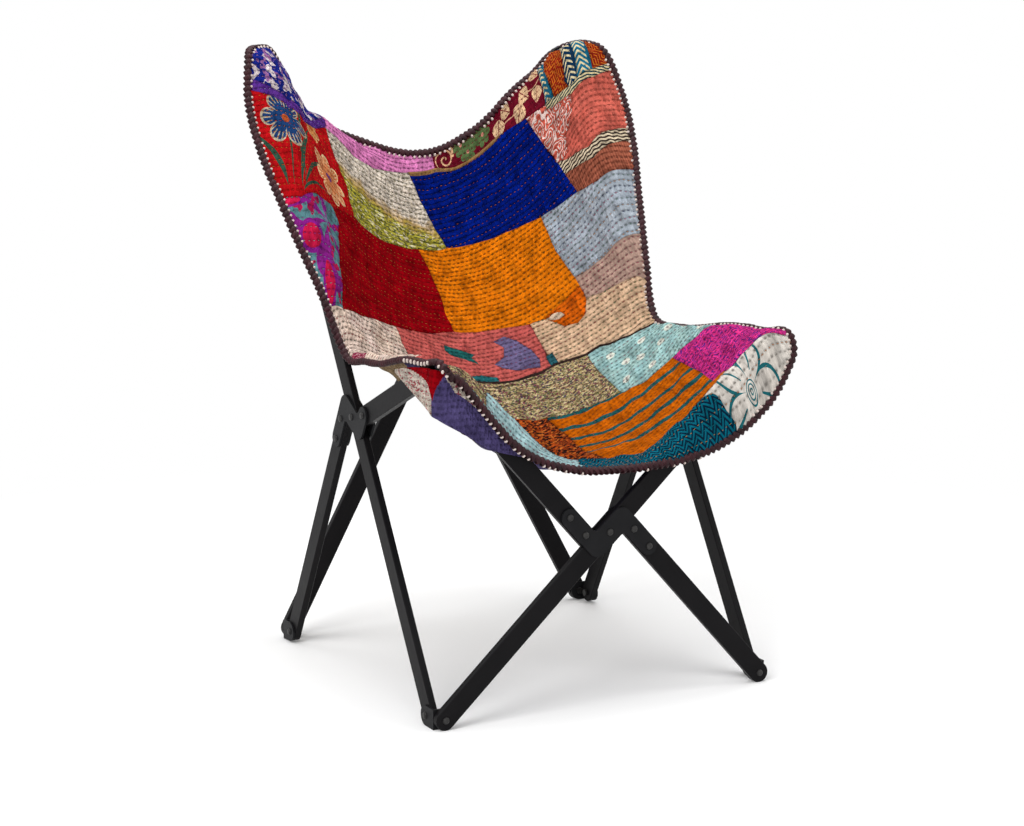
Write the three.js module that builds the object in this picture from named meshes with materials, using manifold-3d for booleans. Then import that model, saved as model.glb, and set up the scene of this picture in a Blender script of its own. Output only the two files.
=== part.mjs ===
import * as THREE from 'three';
import { mergeVertices } from 'three/addons/utils/BufferGeometryUtils.js';
import Module from 'manifold-3d';

// A butterfly sling chair. Four flat-bar scissors stand round a rectangle and share four angle brackets
// at the floor. The short front scissor and the tall rear one cross at S-shaped hub plates. Each side
// scissor joins a long straight bar, a rear leg and a short arm that swings on its hub plates. A
// patchwork sling hangs from the four pairs of bar ends.
// Millimetres, +Z up, the chair faces -Y. It is drawn with the front bars' outer face at Y 0 and moved
// at the end, so that the origin is on the floor below the middle of its box.

const wasm = await Module();
wasm.setup();

// Overall sizes of the frame
const FRAME_WIDTH = 524;
const FRAME_DEPTH = 540;
const FRONT_HUB_HEIGHT = 246;
const SIDE_HUB_HEIGHT = 383;
const REAR_TIP_HEIGHT = 863;

// Bars, plates and clearances
const BAR_WIDTH = 28;
const BAR_THICKNESS = 10;
const BAR_EASED_EDGE = 0.8;
const PLATE_THICKNESS = 3;
const TOUCH_GAP = 0.3;

// Hub plates: where their bolts sit along the half bars, and the outline
const HUB_FIRST_BOLT = 25;
const HUB_BOLT_SPACING = 36;
const HUB_BODY_HALF_WIDTH = 16;
const HUB_ARM_HALF_WIDTH = 12.5;
const HUB_FILLET = 7;
const HALF_BAR_START = 15;

// Foot brackets: how far the two pivots stand from the corner
const BRACKET_FRONT_SETBACK = 14;
const BRACKET_SIDE_SETBACK = 35;

// Bolts
const BOLT_RADIUS = 3;
const BOLT_HEAD_RADIUS = 5;
const BOLT_HEAD_HEIGHT = 2.6;
const NUT_RADIUS = 5.2;
const NUT_HEIGHT = 4;
const headCrownShare = 0.55;
const headShoulderShare = 0.9;

// Facets of arcs and bolts, and the distance below which two corners of a mesh are one
const arcSteps = 6;
const boltSides = 12;
const holeSteps = 7;
const MERGE_DISTANCE = 0.0001;

// Sling
const SLING_THICKNESS = 4;
const POCKET_THICKNESS = 3;
const SLING_CLEARANCE = 4;
const POCKET_CLEARANCE = 1;
const SEAM_GAP = 1;
const WING_REACH = 60;
const REAR_POCKET_DROP = 120;
const FRONT_POCKET_DROP = 72;

// Places that follow from those sizes
const barRadius = BAR_WIDTH / 2;
const halfBarOffset = BAR_WIDTH + TOUCH_GAP;
const footPivotX = FRAME_WIDTH / 2 - BRACKET_FRONT_SETBACK;
const sideBarOuterX = FRAME_WIDTH / 2 - PLATE_THICKNESS - TOUCH_GAP;
const frontTipHeight = 2 * FRONT_HUB_HEIGHT - barRadius;

const frontSidePivot = new THREE.Vector2(BRACKET_SIDE_SETBACK, barRadius);
const frontSideTip = new THREE.Vector2(BRACKET_SIDE_SETBACK, frontTipHeight);

// The rear foot pivot sits high enough for the leaning rear bars to touch the floor.
function solveSideFrame() {
  let lean = 0;
  let rearPivot;
  let hub;
  let rearTip;
  for (let pass = 0; pass < 8; pass += 1) {
    const pivotHeight = barRadius * Math.cos(lean) + BRACKET_SIDE_SETBACK * Math.sin(lean);
    rearPivot = new THREE.Vector2(FRAME_DEPTH - BRACKET_SIDE_SETBACK, pivotHeight);
    const middle = frontSidePivot.clone().add(rearPivot).multiplyScalar(0.5);
    const base = rearPivot.clone().sub(frontSidePivot);
    const rise = SIDE_HUB_HEIGHT - middle.y;
    hub = new THREE.Vector2(middle.x - (rise * base.y) / base.x, SIDE_HUB_HEIGHT);
    const along = hub.clone().sub(frontSidePivot);
    const share = (REAR_TIP_HEIGHT - frontSidePivot.y) / along.y;
    rearTip = frontSidePivot.clone().addScaledVector(along, share);
    lean = Math.atan2(rearTip.x - rearPivot.x, rearTip.y - rearPivot.y);
  }
  return { lean, rearPivot, hub, rearTip };
}

const sideFrame = solveSideFrame();
const rearLean = sideFrame.lean;
const rearTipReach = sideFrame.rearTip.distanceTo(sideFrame.rearPivot);

const steelBlack = { color: 0x17171a, roughness: 0.42, metalness: 0.55 };
const barBlack = { color: 0x1b1a1c, roughness: 0.5, metalness: 0.3 };
const boltBlack = { color: 0x101012, roughness: 0.35, metalness: 0.8 };
const quiltRed = { color: 0xa8283a, roughness: 0.9, metalness: 0 };
const quiltBlue = { color: 0x2c4a9a, roughness: 0.9, metalness: 0 };
const quiltPurple = { color: 0x5a4a86, roughness: 0.9, metalness: 0 };

const chair = new THREE.Group();

function addMesh(group, name, geometry, finish) {
  const mesh = new THREE.Mesh(geometry, new THREE.MeshStandardMaterial(finish));
  mesh.name = name;
  group.add(mesh);
  return mesh;
}

// Solid helpers: a closed geometry becomes a solid for cutting and joining, and comes back again

function toSolid(geometry) {
  const bare = geometry.clone();
  bare.deleteAttribute('normal');
  bare.deleteAttribute('uv');
  const merged = mergeVertices(bare, MERGE_DISTANCE);
  return new wasm.Manifold(new wasm.Mesh({
    numProp: 3,
    vertProperties: new Float32Array(merged.attributes.position.array),
    triVerts: new Uint32Array(merged.index.array),
  }));
}

function toGeometry(solid) {
  const mesh = solid.getMesh();
  const geometry = new THREE.BufferGeometry();
  geometry.setAttribute('position', new THREE.BufferAttribute(new Float32Array(mesh.vertProperties), 3));
  geometry.setIndex(new THREE.BufferAttribute(new Uint32Array(mesh.triVerts), 1));
  geometry.computeVertexNormals();
  return geometry;
}

// Flat pieces are drawn in their scissor's own plane and given their thickness along local Z.

function addHole(shape, at, radius) {
  const hole = new THREE.Path();
  hole.absarc(at.x, at.y, radius, 0, 2 * Math.PI, true);
  shape.holes.push(hole);
}

function flatPiece(shape, thickness, easedEdge, lift) {
  const geometry = new THREE.ExtrudeGeometry(shape, {
    depth: thickness - 2 * easedEdge,
    bevelEnabled: easedEdge > 0,
    bevelThickness: easedEdge,
    bevelSize: easedEdge,
    bevelOffset: -easedEdge,
    bevelSegments: 1,
    curveSegments: holeSteps,
  });
  geometry.translate(0, 0, lift + easedEdge);
  return geometry;
}

// A bar with a round end at each end that is asked for; the other end is cut square.
function barShape(start, end, holes, roundStart, roundEnd) {
  const along = end.clone().sub(start);
  const angle = Math.atan2(along.y, along.x);
  const side = new THREE.Vector2(-Math.sin(angle), Math.cos(angle)).multiplyScalar(barRadius);
  const shape = new THREE.Shape();
  shape.moveTo(start.x - side.x, start.y - side.y);
  shape.lineTo(end.x - side.x, end.y - side.y);
  const left = angle + Math.PI / 2;
  if (roundEnd) shape.absarc(end.x, end.y, barRadius, left - Math.PI, left, false);
  shape.lineTo(end.x + side.x, end.y + side.y);
  shape.lineTo(start.x + side.x, start.y + side.y);
  if (roundStart) shape.absarc(start.x, start.y, barRadius, left, left + Math.PI, false);
  holes.forEach((at) => addHole(shape, at, BOLT_RADIUS + TOUCH_GAP));
  return shape;
}

function barGeometry(start, end, holes, roundStart = true, roundEnd = true) {
  return flatPiece(barShape(start, end, holes, roundStart, roundEnd), BAR_THICKNESS, BAR_EASED_EDGE, 0);
}

// A hub's own frame: k runs up the half bars, h points across them, away from the lower half bar's foot.
function hubFrame(hub, foot) {
  const toHub = hub.clone().sub(foot);
  const reach = toHub.length();
  const turn = Math.asin(halfBarOffset / reach);
  const angle = Math.atan2(toHub.y, toHub.x);
  const upAngle = toHub.x < 0 ? angle - turn : angle + turn;
  const k = new THREE.Vector2(Math.cos(upAngle), Math.sin(upAngle));
  const h = new THREE.Vector2(k.y, -k.x).multiplyScalar(toHub.x < 0 ? 1 : -1);
  const at = (across, up) => hub.clone().addScaledVector(h, across).addScaledVector(k, up);
  return { hub, h, k, at, mirrored: toHub.x > 0 };
}

// The plate's outline: a body across the straight bar, a long arm down the lower half bar and an arm of
// the given reach up the other one, with round ends, rounded outer corners and filleted inner corners.
function hubPlateShape(frame, upperReach, holes) {
  const outer = halfBarOffset + HUB_ARM_HALF_WIDTH;
  const inner = halfBarOffset - HUB_ARM_HALF_WIDTH;
  const body = HUB_BODY_HALF_WIDTH;
  const lowerReach = HUB_FIRST_BOLT + HUB_BOLT_SPACING;
  const points = [];
  const addArc = (across, up, radius, from, to) => {
    for (let step = 0; step <= arcSteps; step += 1) {
      const angle = from + ((to - from) * step) / arcSteps;
      points.push(frame.at(across + radius * Math.cos(angle), up + radius * Math.sin(angle)));
    }
  };
  addArc(halfBarOffset, -lowerReach, HUB_ARM_HALF_WIDTH, -Math.PI, 0);
  addArc(outer - body, 0, body, 0, Math.PI / 2);
  addArc(-inner + HUB_FILLET, body + HUB_FILLET, HUB_FILLET, 1.5 * Math.PI, Math.PI);
  addArc(-halfBarOffset, Math.max(upperReach, body + HUB_FILLET), HUB_ARM_HALF_WIDTH, 0, Math.PI);
  addArc(-outer + body, 0, body, Math.PI, 1.5 * Math.PI);
  addArc(inner - HUB_FILLET, -body - HUB_FILLET, HUB_FILLET, Math.PI / 2, 0);
  const shape = new THREE.Shape(points);
  holes.forEach((at) => addHole(shape, at, BOLT_RADIUS + TOUCH_GAP));
  return shape;
}

// A bolt with a domed head and its nut, along local Z: the head's seat is at headZ and the nut's at nutZ.
function boltProfile(grip, withNut) {
  const shankEnd = withNut ? grip + NUT_HEIGHT : grip;
  const points = [
    [0, -BOLT_HEAD_HEIGHT],
    [BOLT_HEAD_RADIUS * headCrownShare, -BOLT_HEAD_HEIGHT],
    [BOLT_HEAD_RADIUS * headShoulderShare, -BOLT_HEAD_HEIGHT * headCrownShare],
    [BOLT_HEAD_RADIUS, 0],
    [BOLT_RADIUS, 0],
  ];
  if (withNut) points.push([BOLT_RADIUS, grip], [NUT_RADIUS, grip], [NUT_RADIUS, shankEnd]);
  else points.push([BOLT_RADIUS, shankEnd]);
  points.push([0, shankEnd]);
  return points.map(([radius, height]) => new THREE.Vector2(radius, height));
}

function boltGeometry(at, headZ, nutZ, withNut = true) {
  const grip = Math.abs(nutZ - headZ);
  const geometry = new THREE.LatheGeometry(boltProfile(grip, withNut), boltSides);
  geometry.rotateX(nutZ > headZ ? Math.PI / 2 : -Math.PI / 2);
  geometry.translate(at.x, at.y, headZ);
  return geometry;
}

// Local Z of the layers of a scissor: the bars lie from 0 to their thickness.
const layers = {
  nearPlate: -TOUCH_GAP - PLATE_THICKNESS,
  farPlate: BAR_THICKNESS + TOUCH_GAP,
  nearSeat: -2 * TOUCH_GAP - PLATE_THICKNESS,
  farSeat: BAR_THICKNESS + 2 * TOUCH_GAP + PLATE_THICKNESS,
};

// The bolt heads are on the outer plate, which is the near one or the far one.
function addHubPlates(group, prefix, frame, upperReach, boltSpots, outerIsNear) {
  const shape = hubPlateShape(frame, upperReach, [frame.hub, ...boltSpots]);
  const outerZ = outerIsNear ? layers.nearPlate : layers.farPlate;
  const innerZ = outerIsNear ? layers.farPlate : layers.nearPlate;
  const headZ = outerIsNear ? layers.nearSeat : layers.farSeat;
  const nutZ = outerIsNear ? layers.farSeat : layers.nearSeat;
  addMesh(group, `${prefix}_hub_plate_outer`, flatPiece(shape, PLATE_THICKNESS, 0, outerZ), steelBlack);
  addMesh(group, `${prefix}_hub_plate_inner`, flatPiece(shape, PLATE_THICKNESS, 0, innerZ), steelBlack);
  addMesh(group, `${prefix}_hub_pivot_bolt`, boltGeometry(frame.hub, headZ, nutZ), boltBlack);
  boltSpots.forEach((at, index) => {
    addMesh(group, `${prefix}_hub_bolt_${index + 1}`, boltGeometry(at, headZ, nutZ), boltBlack);
  });
}

// A front or rear scissor: one straight bar from the left foot to the right tip, and two half bars that lie
// on either side of it and are held by the hub plates. Local Z 0 is the face towards the back of the chair.
function addEndScissor(group, prefix, tipReach, outerIsNear) {
  const leftFoot = new THREE.Vector2(-footPivotX, 0);
  const rightFoot = new THREE.Vector2(footPivotX, 0);
  const leftTip = new THREE.Vector2(-footPivotX, tipReach);
  const rightTip = new THREE.Vector2(footPivotX, tipReach);
  const hub = leftFoot.clone().add(rightTip).multiplyScalar(0.5);
  const frame = hubFrame(hub, rightFoot);
  const firstBolt = HUB_FIRST_BOLT;
  const secondBolt = HUB_FIRST_BOLT + HUB_BOLT_SPACING;
  const lowerBolts = [frame.at(halfBarOffset, -firstBolt), frame.at(halfBarOffset, -secondBolt)];
  const upperBolts = [frame.at(-halfBarOffset, firstBolt), frame.at(-halfBarOffset, secondBolt)];
  const lowerStart = frame.at(halfBarOffset, -HALF_BAR_START);
  const upperStart = frame.at(-halfBarOffset, HALF_BAR_START);
  addMesh(group, `${prefix}_straight_bar`, barGeometry(leftFoot, rightTip, [leftFoot, hub]), barBlack);
  addMesh(group, `${prefix}_lower_half_bar`,
    barGeometry(lowerStart, rightFoot, [rightFoot, ...lowerBolts], false, true), barBlack);
  addMesh(group, `${prefix}_upper_half_bar`,
    barGeometry(upperStart, leftTip, upperBolts, false, true), barBlack);
  addHubPlates(group, prefix, frame, secondBolt, [...lowerBolts, ...upperBolts], outerIsNear);
}

// A side scissor, drawn with local X towards the back: the long straight bar from the front foot to the rear
// tip, the rear leg up to the hub, and the short arm from the hub to the front tip on its own pivot.
function addSideScissor(group, prefix, outerIsNear) {
  const { hub, rearPivot, rearTip } = sideFrame;
  const frame = hubFrame(hub, rearPivot);
  const firstBolt = HUB_FIRST_BOLT;
  const secondBolt = HUB_FIRST_BOLT + HUB_BOLT_SPACING;
  const legBolts = [frame.at(halfBarOffset, -firstBolt), frame.at(halfBarOffset, -secondBolt)];
  const armPivot = frame.at(-halfBarOffset, firstBolt);
  const legStart = frame.at(halfBarOffset, -HALF_BAR_START);
  addMesh(group, `${prefix}_straight_bar`,
    barGeometry(frontSidePivot, rearTip, [frontSidePivot, hub]), barBlack);
  addMesh(group, `${prefix}_rear_leg_bar`,
    barGeometry(legStart, rearPivot, [rearPivot, ...legBolts], false, true), barBlack);
  addMesh(group, `${prefix}_arm_bar`, barGeometry(armPivot, frontSideTip, [armPivot]), barBlack);
  addHubPlates(group, prefix, frame, firstBolt, [...legBolts, armPivot], outerIsNear);
}

// A foot bracket of bent plate, drawn round the side pivot: one flange lies outside the side bar and the
// other inside the front or rear bar. Both are as high as a bar is wide and have round ends.
function flangeShape(reach) {
  const shape = new THREE.Shape();
  shape.moveTo(0, -barRadius);
  shape.lineTo(reach, -barRadius);
  shape.absarc(reach, 0, barRadius, -Math.PI / 2, Math.PI / 2, false);
  shape.lineTo(0, barRadius);
  shape.closePath();
  addHole(shape, new THREE.Vector2(reach, 0), BOLT_RADIUS + TOUCH_GAP);
  return shape;
}

// Local axes: X to the right, Y away from the nearer end of the chair, Z up; side is -1 left or 1 right.
function bracketGeometry(side) {
  const cornerY = -BRACKET_SIDE_SETBACK + BAR_THICKNESS + TOUCH_GAP;
  const endFlange = flatPiece(flangeShape(BRACKET_FRONT_SETBACK), PLATE_THICKNESS, 0, 0);
  endFlange.rotateX(Math.PI / 2);
  if (side > 0) endFlange.rotateZ(Math.PI);
  endFlange.translate(0, cornerY + (side > 0 ? 0 : PLATE_THICKNESS), 0);
  const sideFlange = flatPiece(flangeShape(-cornerY), PLATE_THICKNESS, 0, 0);
  sideFlange.rotateX(Math.PI / 2);
  sideFlange.rotateZ(Math.PI / 2);
  sideFlange.translate(side > 0 ? -PLATE_THICKNESS : 0, cornerY, 0);
  return toGeometry(toSolid(endFlange).add(toSolid(sideFlange)));
}

function addFoot(name, side, end) {
  const group = new THREE.Group();
  const pivot = end === 'front' ? frontSidePivot : sideFrame.rearPivot;
  group.position.set((side * FRAME_WIDTH) / 2, pivot.x, pivot.y);
  const turned = end === 'rear';
  if (turned) group.rotation.set(-rearLean, 0, Math.PI, 'XYZ');
  const localSide = turned ? -side : side;
  addMesh(group, `${name}_bracket`, bracketGeometry(localSide), steelBlack);

  const sideBolt = new THREE.Group();
  sideBolt.rotation.y = localSide > 0 ? -Math.PI / 2 : Math.PI / 2;
  sideBolt.position.x = localSide * TOUCH_GAP;
  const sideGrip = PLATE_THICKNESS + BAR_THICKNESS + 3 * TOUCH_GAP;
  addMesh(sideBolt, `${name}_side_bolt`, boltGeometry(new THREE.Vector2(), 0, sideGrip), boltBlack);
  group.add(sideBolt);

  const endBolt = new THREE.Group();
  endBolt.rotation.x = -Math.PI / 2;
  endBolt.position.set(-localSide * BRACKET_FRONT_SETBACK, -BRACKET_SIDE_SETBACK - TOUCH_GAP, 0);
  if (name === 'rear_right_foot') {
    addMesh(endBolt, `${name}_end_bolt`,
      boltGeometry(new THREE.Vector2(), 0, BAR_THICKNESS + TOUCH_GAP, false), boltBlack);
    const nut = new THREE.CylinderGeometry(NUT_RADIUS, NUT_RADIUS, NUT_HEIGHT, boltSides);
    nut.rotateX(Math.PI / 2);
    nut.translate(0, 0, sideGrip + NUT_HEIGHT / 2);
    addMesh(endBolt, `${name}_end_nut`, nut, boltBlack);
  } else {
    addMesh(endBolt, `${name}_end_bolt`, boltGeometry(new THREE.Vector2(), 0, sideGrip), boltBlack);
  }
  group.add(endBolt);
  chair.add(group);
}

// The frame

const frontScissor = new THREE.Group();
frontScissor.position.set(0, BAR_THICKNESS, barRadius);
frontScissor.rotation.x = Math.PI / 2;
addEndScissor(frontScissor, 'front', frontTipHeight - barRadius, false);
chair.add(frontScissor);

const rearScissor = new THREE.Group();
const rearOuter = BRACKET_SIDE_SETBACK;
rearScissor.position.set(
  0,
  sideFrame.rearPivot.x + rearOuter * Math.cos(rearLean),
  sideFrame.rearPivot.y - rearOuter * Math.sin(rearLean),
);
rearScissor.rotation.x = Math.PI / 2 - rearLean;
addEndScissor(rearScissor, 'rear', rearTipReach, true);
chair.add(rearScissor);

const sideBasis = new THREE.Matrix4().makeBasis(
  new THREE.Vector3(0, 1, 0),
  new THREE.Vector3(0, 0, 1),
  new THREE.Vector3(1, 0, 0),
);

function placeSideScissor(prefix, x, outerIsNear) {
  const scissor = new THREE.Group();
  scissor.setRotationFromMatrix(sideBasis);
  scissor.position.x = x;
  addSideScissor(scissor, prefix, outerIsNear);
  chair.add(scissor);
}

placeSideScissor('left', -sideBarOuterX, true);
placeSideScissor('right', sideBarOuterX - BAR_THICKNESS, false);

addFoot('front_left_foot', -1, 'front');
addFoot('front_right_foot', 1, 'front');
addFoot('rear_left_foot', -1, 'rear');
addFoot('rear_right_foot', 1, 'rear');

// Sling
// Each row runs across the chair through thirteen places: the middle, five on each side out to where the
// sling bears on the bars, and the outer edge. Rows are listed from the top edge down to the front edge.

const bearX = sideBarOuterX - BAR_THICKNESS - SLING_THICKNESS / 2;
const bearOffset = barRadius + SLING_CLEARANCE + SLING_THICKNESS / 2;
const sideDirection = sideFrame.rearTip.clone().sub(frontSidePivot).normalize();
const sideFront = new THREE.Vector2(-sideDirection.y, sideDirection.x);
const sideLength = sideFrame.rearTip.distanceTo(frontSidePivot);
const frontTop = frontTipHeight + bearOffset + SLING_CLEARANCE / 2;
const rearTop = REAR_TIP_HEIGHT + bearOffset;
const rearBack = sideFrame.rearTip.x + BRACKET_SIDE_SETBACK;
const frontBarSlope = (frontTipHeight - barRadius) / (2 * footPivotX);
const frontBarTopRise = barRadius * Math.hypot(1, frontBarSlope);

// Each row: depth and height of its middle as shares of the frame's depth and height, the powers by which it
// rises and goes back towards the bearing place, and the edge's steps out, back and up as shares of the wing.
const backRowShares = [
  { middle: [1.080, 0.834], rise: 2.1, back: 5, edge: [0.40, 0.00, 0.02] },
  { middle: [1.050, 0.790], rise: 1.9, back: 4, edge: [0.88, -0.12, -0.05] },
  { middle: [1.000, 0.720], rise: 1.8, back: 2, edge: [1.12, -0.18, 0.00] },
  { middle: [0.930, 0.645], rise: 1.8, back: 2, edge: [1.06, -0.12, 0.05] },
  { middle: [0.855, 0.575], rise: 1.8, back: 2, edge: [0.70, -0.10, 0.05] },
  { middle: [0.765, 0.512], rise: 1.8, back: 2, edge: [0.35, -0.05, 0.03] },
  { middle: [0.640, 0.452], rise: 1.8, back: 2, edge: [0.12, -0.05, 0.02] },
];
const seatRowShares = [
  { middle: [0.500, 0.396], rise: 1.9, back: 2, edge: [0.16, -0.05, 0.03] },
  { middle: [0.365, 0.360], rise: 1.9, back: 2, edge: [0.24, -0.05, 0.02] },
  { middle: [0.225, 0.356], rise: 1.9, back: 2, edge: [0.34, -0.06, -0.02] },
];

// The rows at the front bars are given for each side, for the wing is tucked in at the left and spread at
// the right: depth and height where they bear as shares of the frame's depth and the top of the bar ends.
const frontRowShares = [
  {
    middle: [0.090, 0.370],
    left: { bearing: [0.060, 0.992], rise: 2.0, edge: [0.25, 0, -0.05] },
    right: { bearing: [0.060, 0.992], rise: 2.0, edge: [0.50, 0, -0.06] },
  },
  {
    middle: [0.034, 0.378],
    left: { bearing: [0.020, 1.000], rise: 2.0, edge: [0.24, 0, -0.05] },
    right: { bearing: [0.020, 1.000], rise: 2.0, edge: [0.60, 0, -0.08] },
  },
  {
    middle: [-0.004, 0.385],
    left: { bearing: [-0.006, 0.994], rise: 2.0, edge: [0.22, 0, -0.08] },
    right: { bearing: [-0.006, 0.990], rise: 2.0, edge: [0.68, 0, -0.16] },
  },
  {
    middle: [-0.022, 0.388],
    left: { bearing: [-0.024, 0.970], rise: 1.9, edge: [0.20, 0, -0.08] },
    right: { bearing: [-0.024, 0.925], rise: 2.3, edge: [0.70, 0, 0.10] },
  },
  {
    middle: [-0.028, 0.386],
    left: { bearing: [-0.028, 0.945], rise: 2.1, edge: [0.16, 0, -0.05] },
    right: { bearing: [-0.026, 0.805], rise: 3.4, edge: [0.60, 0, 0.70] },
  },
];
const sideBarShares = [0, 0.985, 0.925, 0.835, 0.735, 0.635, 0.54];
const armRowShares = [0.74, 0.46, 0.18];
const acrossShares = [0.2, 0.4, 0.6, 0.8, 1];

function onSideBar(share) {
  return frontSidePivot.clone()
    .addScaledVector(sideDirection, sideLength * share)
    .addScaledVector(sideFront, bearOffset);
}

function bearingPlaces() {
  const places = sideBarShares.map(onSideBar);
  places[0] = new THREE.Vector2(rearBack + bearOffset - barRadius, rearTop);
  places[1].y = rearTop;
  const waist = places[places.length - 1];
  const corner = new THREE.Vector2(frontSideTip.x, frontTop);
  armRowShares.forEach((share) => places.push(corner.clone().lerp(waist, share)));
  return places;
}

// Where a row passes over the front bars it is lifted clear of their upper edges.
function liftOverFrontBars(x, depth, height) {
  const barTop = FRONT_HUB_HEIGHT + Math.abs(x) * frontBarSlope + frontBarTopRise;
  const overBar = depth > -bearOffset + barRadius && depth < BAR_THICKNESS + bearOffset;
  const lowest = barTop + SLING_THICKNESS + SLING_CLEARANCE;
  return overBar ? Math.max(height, Math.min(lowest, frontTop)) : height;
}

function rowCurve(row, left, right) {
  const middle = new THREE.Vector2(row.middle[0] * FRAME_DEPTH, row.middle[1] * REAR_TIP_HEIGHT);
  const place = (side, share) => {
    const { bearing, rise, back } = side < 0 ? left : right;
    const depth = middle.x + (bearing.x - middle.x) * share ** back;
    const height = middle.y + (bearing.y - middle.y) * share ** rise;
    return new THREE.Vector3(side * share * bearX, depth, liftOverFrontBars(share * bearX, depth, height));
  };
  const edge = (side, steps) => place(side, 1).add(new THREE.Vector3(
    side * steps[0] * WING_REACH,
    steps[1] * WING_REACH,
    steps[2] * WING_REACH,
  ));
  const points = [
    edge(-1, left.edge),
    ...acrossShares.slice().reverse().map((share) => place(-1, share)),
    new THREE.Vector3(0, middle.x, middle.y),
    ...acrossShares.map((share) => place(1, share)),
    edge(1, right.edge),
  ];
  return new THREE.CatmullRomCurve3(points, false, 'centripetal');
}

function slingRows() {
  const places = bearingPlaces();
  const rows = [...backRowShares, ...seatRowShares].map((row, index) => {
    const side = { ...row, bearing: places[index] };
    return rowCurve(row, side, side);
  });
  const frontSide = ({ bearing, rise, edge }) => ({
    bearing: new THREE.Vector2(bearing[0] * FRAME_DEPTH, bearing[1] * frontTop),
    rise,
    back: 2,
    edge,
  });
  frontRowShares.forEach((row) => rows.push(rowCurve(row, frontSide(row.left), frontSide(row.right))));
  return rows;
}

const rowCurves = slingRows();
const creaseRow = backRowShares.length - 1;

// The sling's middle surface: across from -1 at the left edge to 1 at the right, along in rows from the top.
function slingPoint(across, along) {
  const share = (across + 1) / 2;
  const column = rowCurves.map((curve) => curve.getPoint(share));
  const curve = new THREE.CatmullRomCurve3(column, false, 'centripetal');
  return curve.getPoint(along / (rowCurves.length - 1));
}

// A sheet of the given thickness on a grid of points; outward is the side that the normals point to.
function sheetGeometry(grid, thickness) {
  const rows = grid.length;
  const columns = grid[0].length;
  const at = (row, column) => {
    const line = grid[Math.min(Math.max(row, 0), rows - 1)];
    return line[Math.min(Math.max(column, 0), columns - 1)].clone();
  };
  const offset = (row, column, side) => {
    const down = at(row + 1, column).sub(at(row - 1, column));
    const right = at(row, column + 1).sub(at(row, column - 1));
    const normal = right.cross(down).normalize();
    return at(row, column).addScaledVector(normal, (side * thickness) / 2);
  };
  const positions = [];
  [1, -1].forEach((side) => {
    for (let row = 0; row < rows; row += 1) {
      for (let column = 0; column < columns; column += 1) {
        positions.push(...offset(row, column, side).toArray());
      }
    }
  });
  const index = [];
  const quad = (a, b, c, d) => index.push(a, b, c, a, c, d);
  const top = (row, column) => row * columns + column;
  const bottom = (row, column) => rows * columns + top(row, column);
  for (let row = 0; row + 1 < rows; row += 1) {
    for (let column = 0; column + 1 < columns; column += 1) {
      const next = column + 1;
      quad(top(row, column), top(row, next), top(row + 1, next), top(row + 1, column));
      quad(bottom(row, column), bottom(row + 1, column), bottom(row + 1, next), bottom(row, next));
    }
    quad(top(row, 0), top(row + 1, 0), bottom(row + 1, 0), bottom(row, 0));
    const last = columns - 1;
    quad(top(row, last), bottom(row, last), bottom(row + 1, last), top(row + 1, last));
  }
  for (let column = 0; column + 1 < columns; column += 1) {
    quad(top(0, column), bottom(0, column), bottom(0, column + 1), top(0, column + 1));
    const last = rows - 1;
    quad(top(last, column), top(last, column + 1), bottom(last, column + 1), bottom(last, column));
  }
  const geometry = new THREE.BufferGeometry();
  geometry.setAttribute('position', new THREE.Float32BufferAttribute(positions, 3));
  geometry.setIndex(index);
  geometry.computeVertexNormals();
  return geometry;
}

const stepsPerRow = 2;
const acrossSteps = 24;
const pocketRows = 4;
const pocketColumns = 16;

function panelGrid(from, to, steps) {
  const grid = [];
  for (let row = 0; row <= steps; row += 1) {
    const along = from + ((to - from) * row) / steps;
    const line = [];
    for (let column = 0; column <= acrossSteps; column += 1) {
      line.push(slingPoint(-1 + (2 * column) / acrossSteps, along));
    }
    grid.push(line);
  }
  return grid;
}

const seamGapShare = SEAM_GAP / (FRAME_DEPTH / rowCurves.length);
const lastRow = rowCurves.length - 1;
const backGrid = panelGrid(0, creaseRow - seamGapShare, stepsPerRow * creaseRow);
const seatGrid = panelGrid(creaseRow + seamGapShare, lastRow, stepsPerRow * (lastRow - creaseRow));
addMesh(chair, 'sling_back_panel', sheetGeometry(backGrid, SLING_THICKNESS), quiltBlue);
addMesh(chair, 'sling_seat_panel', sheetGeometry(seatGrid, SLING_THICKNESS), quiltRed);

// Corner pockets: a curtain of cloth hangs from the sling's corner down the outside of each pair of bar
// ends. It is drawn along a path in plan that turns the corner, with a top and a bottom at each step.

function pocketGrid(path) {
  const upper = new THREE.CatmullRomCurve3(path.map(({ top }) => top), false, 'centripetal');
  const lower = new THREE.CatmullRomCurve3(path.map(({ bottom }) => bottom), false, 'centripetal');
  const rows = [];
  for (let row = 0; row <= pocketRows; row += 1) {
    const line = [];
    for (let column = 0; column <= pocketColumns; column += 1) {
      const share = column / pocketColumns;
      line.push(upper.getPoint(share).lerp(lower.getPoint(share), row / pocketRows));
    }
    rows.push(line);
  }
  return rows;
}

const pocketStandoff = POCKET_THICKNESS / 2 + POCKET_CLEARANCE;
const pocketTopGap = 2 * SLING_THICKNESS + POCKET_THICKNESS + SLING_CLEARANCE;
const outsideX = FRAME_WIDTH / 2 + pocketStandoff;
const pocketCorner = POCKET_THICKNESS;

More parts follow.
